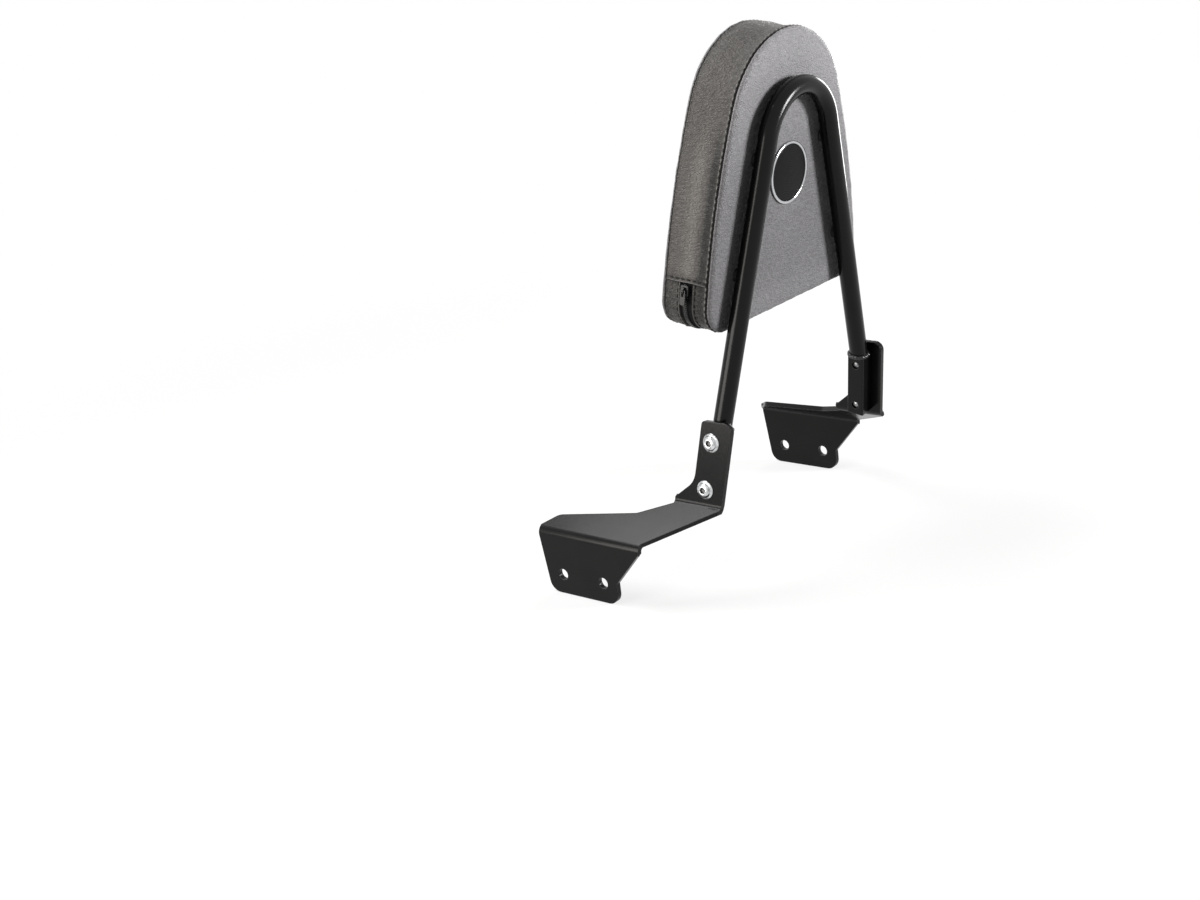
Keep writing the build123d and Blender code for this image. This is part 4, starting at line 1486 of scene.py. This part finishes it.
@dataclass
class BracketScrews:
    """Four flanged button screws with hexagon sockets, which hold the tabs to the end bars."""

    shop: Workshop
    seats: tuple[Triple, ...] = ((132.466, -125.285, 134.320), (138.379, -117.298, 89.406))
    lean_in: float = HoopFrame.lean_in
    socket_flats: float = 5.0
    socket_floor: float = 2.1
    head_height: float = 4.6
    dome: Pair = (7.0, 3.7)
    dome_swell: Pair = (0.55, 0.60)
    flange: Pair = (8.9, 1.5)
    shank_radius: float = 3.75
    shank_length: float = 19.8
    tip_chamfer: float = 0.75
    thread: Pair = (1.25, 0.35)
    thread_start: Pair = (6.0, 7.5)
    # Painted shade in the socket and on the recessed tip
    socket_shade: float = 0.85
    tip_shade: float = 0.6
    tip_shade_depths: Pair = (14.0, 19.0)
    shank_rows: int = 74
    sides: int = 60

    def profile(self) -> Array:
        """Profile of a screw from the middle of its socket to the middle of its tip.

        Returns:
            Rows of radius, height and share of the hexagon.
        """
        floor, top, flats = self.socket_floor, self.head_height, self.socket_flats / 2.0
        foot, cap = self.dome
        rim, high = self.flange
        bend = np.linspace(0.0, 1.0, 9)
        swell = np.sin(bend * math.pi)
        socket = [
            (0.0, floor, 1.0), (flats * 0.93, floor, 1.0), (flats, floor + 0.1, 1.0),
            (flats, top - 0.4, 1.0), (flats + 0.08, top - 0.28, 1.0), (flats + 0.4, top, 0.5),
            (cap - 0.12, top, 0.0)]
        dome = np.stack([
            cap + (foot - cap) * bend + self.dome_swell[0] * swell,
            top + (high - top) * bend + self.dome_swell[1] * swell, np.zeros(len(bend))], axis=1)
        edge = [
            (foot + 0.15, high - 0.05, 0.0), (rim - 0.35, high / 2.0 + 0.12, 0.0),
            (rim, high / 2.0 - 0.1, 0.0), (rim, 0.15, 0.0), (rim - 0.12, 0.02, 0.0),
            (self.shank_radius, 0.02, 0.0)]
        down = np.linspace(-0.2, 1.0 - self.shank_length, self.shank_rows)
        shank = np.stack([np.full(len(down), self.shank_radius), down, np.zeros(len(down))], axis=1)
        end = -self.shank_length
        tip = [(self.shank_radius - self.tip_chamfer, end, 0.0), (0.0, end, 0.0)]
        return np.concatenate([socket, dome, edge, shank, tip])

    def screw(self, rows: Array) -> Array:
        """One screw, turned about its axis.

        The profile is swept round by the angle. In the socket the radius is that of a hexagon, flats over
        cosine, and along the shank it falls and rises with a cosine of height over pitch less turns, which
        is a thread.

        Args:
            rows: the profile.

        Returns:
            Its points by row and side, in its own axes.
        """
        turn = turns(self.sides)
        hexagon = 1.0 / np.cos(np.mod(turn, math.pi / 3.0) - math.pi / 6.0)
        pitch, depth = self.thread
        cut = smooth_step(-rows[:, 1:2], *self.thread_start) * (rows[:, :1] >= self.shank_radius)
        wave = 0.5 + 0.5 * np.cos(math.tau * rows[:, 1:2] / pitch - turn)
        radius = rows[:, :1] * (1.0 + rows[:, 2:] * (hexagon - 1.0)) - depth * cut * wave
        high = np.broadcast_to(rows[:, 1:2], radius.shape)
        return np.stack([radius * np.cos(turn), radius * np.sin(turn), high], axis=2)

    def build(self) -> None:
        """Set a screw on each seat, on both sides, with painted shade in its socket and on its tip."""
        lean, fore = math.radians(self.lean_in), np.array([0.0, 1.0, 0.0])
        origins, axes = [], []
        for side in (-1.0, 1.0):
            out = np.array([side * math.cos(lean), 0.0, math.sin(lean)])
            for seat in self.seats:
                origins.append(np.array(seat) * np.array([side, 1.0, 1.0]))
                axes.append(np.stack([fore, np.cross(out, fore), out]))
        rows = self.profile()
        patch = Patch.repeated(self.screw(rows), np.array(origins) * UNIT, np.array(axes) * UNIT)
        # Painted shade: full in the hexagon socket, and growing towards the recessed tip
        recess_shade = np.where(rows[:, 2] > 0.9, self.socket_shade, 0.0)
        recess_shade += self.tip_shade * smooth_step(-rows[:, 1], *self.tip_shade_depths)
        patch.marks["recess_shade"] = np.tile(np.repeat(recess_shade, self.sides), len(origins))
        self.shop.add("bracket_turned_screws", patch, ZincPlate(), Slot.ZINC, "bracket_screws")


@dataclass
class Badge(OnPad):
    """Bare round badge: chrome rim and a low dome of spun black enamel."""

    height: float = 126.5
    radius: float = 26.1
    sunk: float = 0.05
    edge: float = 1.15
    dome: float = 0.75
    rim_radius: float = 27.6
    rim_size: Pair = (2.8, 2.2)

    def face(self) -> Patch:
        """Domed disc: height falls with the square of the distance from the axis, over a flat underside.

        Returns:
            The disc's patch, marked with the distance from the axis.
        """
        fall = np.linspace(1.0, 0.0, 25)
        radius, turn = grid(self.radius * np.append([0.0, 1.0], fall), turns(96))
        high = np.append([self.sunk, self.sunk], self.edge + self.dome * (1.0 - fall**2))
        ahead = np.broadcast_to((self.back - high)[:, None], radius.shape)
        points = np.stack([radius * np.cos(turn), self.height + radius * np.sin(turn), ahead], axis=2)
        return self.patch(points, marks={"ring": radius})

    def rim(self) -> Patch:
        """Turned rim: a flattened circle carried round the badge.

        Returns:
            The rim's patch.
        """
        turn, lobe = grid(turns(128), turns(24))
        wide, high = flattened(lobe, 0.75)
        radius = self.rim_radius + self.rim_size[0] / 2.0 * wide
        ahead = self.back - self.rim_size[1] / 2.0 * (1.0 + high)
        points = np.stack([radius * np.cos(turn), self.height + radius * np.sin(turn), ahead], axis=2)
        return self.patch(points, closed=True)

    def build(self) -> None:
        """Make the face and the rim."""
        self.shop.add("badge_domed_face", self.face(), SpunEnamel(), Slot.FACE, "badge_face")
        self.shop.add("badge_turned_rim", self.rim(), CHROME, Slot.RIM, "badge_rim")


@dataclass(frozen=True)
class Lamp:
    """A soft square lamp, in metres and watts."""

    name: str
    place: Triple
    aim: Triple
    size: float
    power: float
    colour: Triple = (1.0, 1.0, 1.0)

    def light(self) -> None:
        """Hang the lamp and turn it to its aim."""
        data = bpy.data.lights.new(self.name, "AREA")
        data.shape = "SQUARE"
        data.size = self.size
        data.energy = self.power
        data.color = self.colour
        lamp = put(self.name, data)
        lamp.location = self.place
        lamp.rotation_euler = (Vector(self.aim) - Vector(self.place)).to_track_quat("-Z", "Y").to_euler()


@dataclass
class Studio:
    """Plain pale floor, white surroundings, soft lamps and the photograph's camera, in metres."""

    lowest: float
    floor_gap: float = 0.0004
    camera_place: Triple = (-1.0744304, -0.8693016, 0.5504984)
    camera_right: Triple = (0.634544, -0.763446, -0.120429)
    camera_up: Triple = (0.331270, 0.127873, 0.934831)
    camera_view: Triple = (0.698294, 0.633086, -0.334048)
    lens: float = 54.118
    sensor: float = 36.0
    ambient: float = 0.08
    floor_reach: float = 30.0
    floor_fade: Pair = (0.36, 1.04)
    floor_tint: Colour = (0.26, 0.26, 0.26, 1.0)
    floor_glow: float = 0.74
    lamps: tuple[Lamp, ...] = (
        Lamp("key_right_rear", (0.72, -1.256, 0.40), (0.0, -0.112, 0.288), 0.336, 23.68),
        Lamp("side_right", (1.28, 0.24, 0.24), (0.0, -0.08, 0.24), 0.72, 12.8),
        Lamp("side_left", (-1.24, 0.4, 0.36), (-0.08, -0.08, 0.288), 0.8, 14.72, (1.0, 0.965, 0.92)),
        Lamp("top_front", (-0.376, 0.528, 1.376), (-0.096, -0.08, 0.16), 0.76, 16.0),
    )

    def camera(self) -> None:
        """Set up the camera from its three axes."""
        data = bpy.data.cameras.new("camera")
        data.sensor_fit = "HORIZONTAL"
        data.sensor_width = self.sensor
        data.lens = self.lens
        camera = put("camera", data)
        axes = Matrix((self.camera_right, self.camera_up, -Vector(self.camera_view))).transposed()
        camera.matrix_world = Matrix.Translation(self.camera_place) @ axes.to_4x4()
        bpy.context.scene.camera = camera

    def floor(self) -> None:
        """Lay a pale floor that is white to the camera and keeps the object's shadow."""
        reach, level = self.floor_reach, self.lowest - self.floor_gap
        corners = [(reach * x, reach * y, level) for x, y in ((-1, -1), (1, -1), (1, 1), (-1, 1))]
        data = bpy.data.meshes.new("pale_floor")
        data.from_pydata(corners, [], [(0, 1, 2, 3)])
        made = bpy.data.materials.new("pale_floor")
        graph = Graph(made)
        dull = graph.node("ShaderNodeBsdfDiffuse", {"Color": self.floor_tint})
        glow = graph.node("ShaderNodeEmission", {"Color": WHITE, "Strength": self.floor_glow})
        near = graph.node("ShaderNodeAddShader", {0: dull, 1: glow})
        away = graph.node("ShaderNodeVectorMath", {0: graph.place()}, "Value", operation="LENGTH")
        blank = graph.node("ShaderNodeEmission", {"Color": WHITE})
        bright = graph.node("ShaderNodeMixShader", {0: away.step(*self.floor_fade), 1: near, 2: blank})
        both = graph.node("ShaderNodeMixShader", {0: self.seen(graph), 1: dull, 2: bright})
        graph.node("ShaderNodeOutputMaterial", {"Surface": both})
        data.materials.append(made)
        put("pale_floor", data)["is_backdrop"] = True

    @staticmethod
    def seen(graph: Graph) -> Wire:
        """Tell the rays that show the background from the others.

        Args:
            graph: nodes to add to.

        Returns:
            1 for rays that come straight, mirrored or through glass, and 0 for the others.
        """
        path = graph.node("ShaderNodeLightPath")
        straight, mirrored, through = (
            path.beside(name) for name in ("Is Camera Ray", "Is Glossy Ray", "Is Transmission Ray"))
        return straight.maths("MAXIMUM", straight, mirrored.maths("MAXIMUM", mirrored, through))

    def world(self) -> None:
        """White to the rays that show the background, and a plain soft light to the others."""
        world = bpy.data.worlds.new("soft_surround")
        bpy.context.scene.world = world
        graph = Graph(world)
        soft, white = (graph.node("ShaderNodeBackground", {"Color": WHITE, "Strength": strength})
                       for strength in (self.ambient, 1.0))
        both = graph.node("ShaderNodeMixShader", {0: self.seen(graph), 1: soft, 2: white})
        graph.node("ShaderNodeOutputWorld", {"Surface": both})

    def build(self) -> None:
        """Set up everything round the object."""
        bpy.context.scene.view_settings.view_transform = "Standard"
        self.camera()
        self.floor()
        self.world()
        for lamp in self.lamps:
            lamp.light()


def main() -> None:
    """Load the frame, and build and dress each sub-assembly."""
    logging.basicConfig(level=logging.INFO, format="%(name)s: %(message)s")
    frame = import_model()
    solid_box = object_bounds()
    shop = Workshop(frame["nodes"])
    for assembly in (HoopFrame, BracketScrews, Pad, Zip, Badge):
        assembly(shop).build()
    Studio(lowest=solid_box[0][2]).build()


if __name__ == "__main__":
    main()
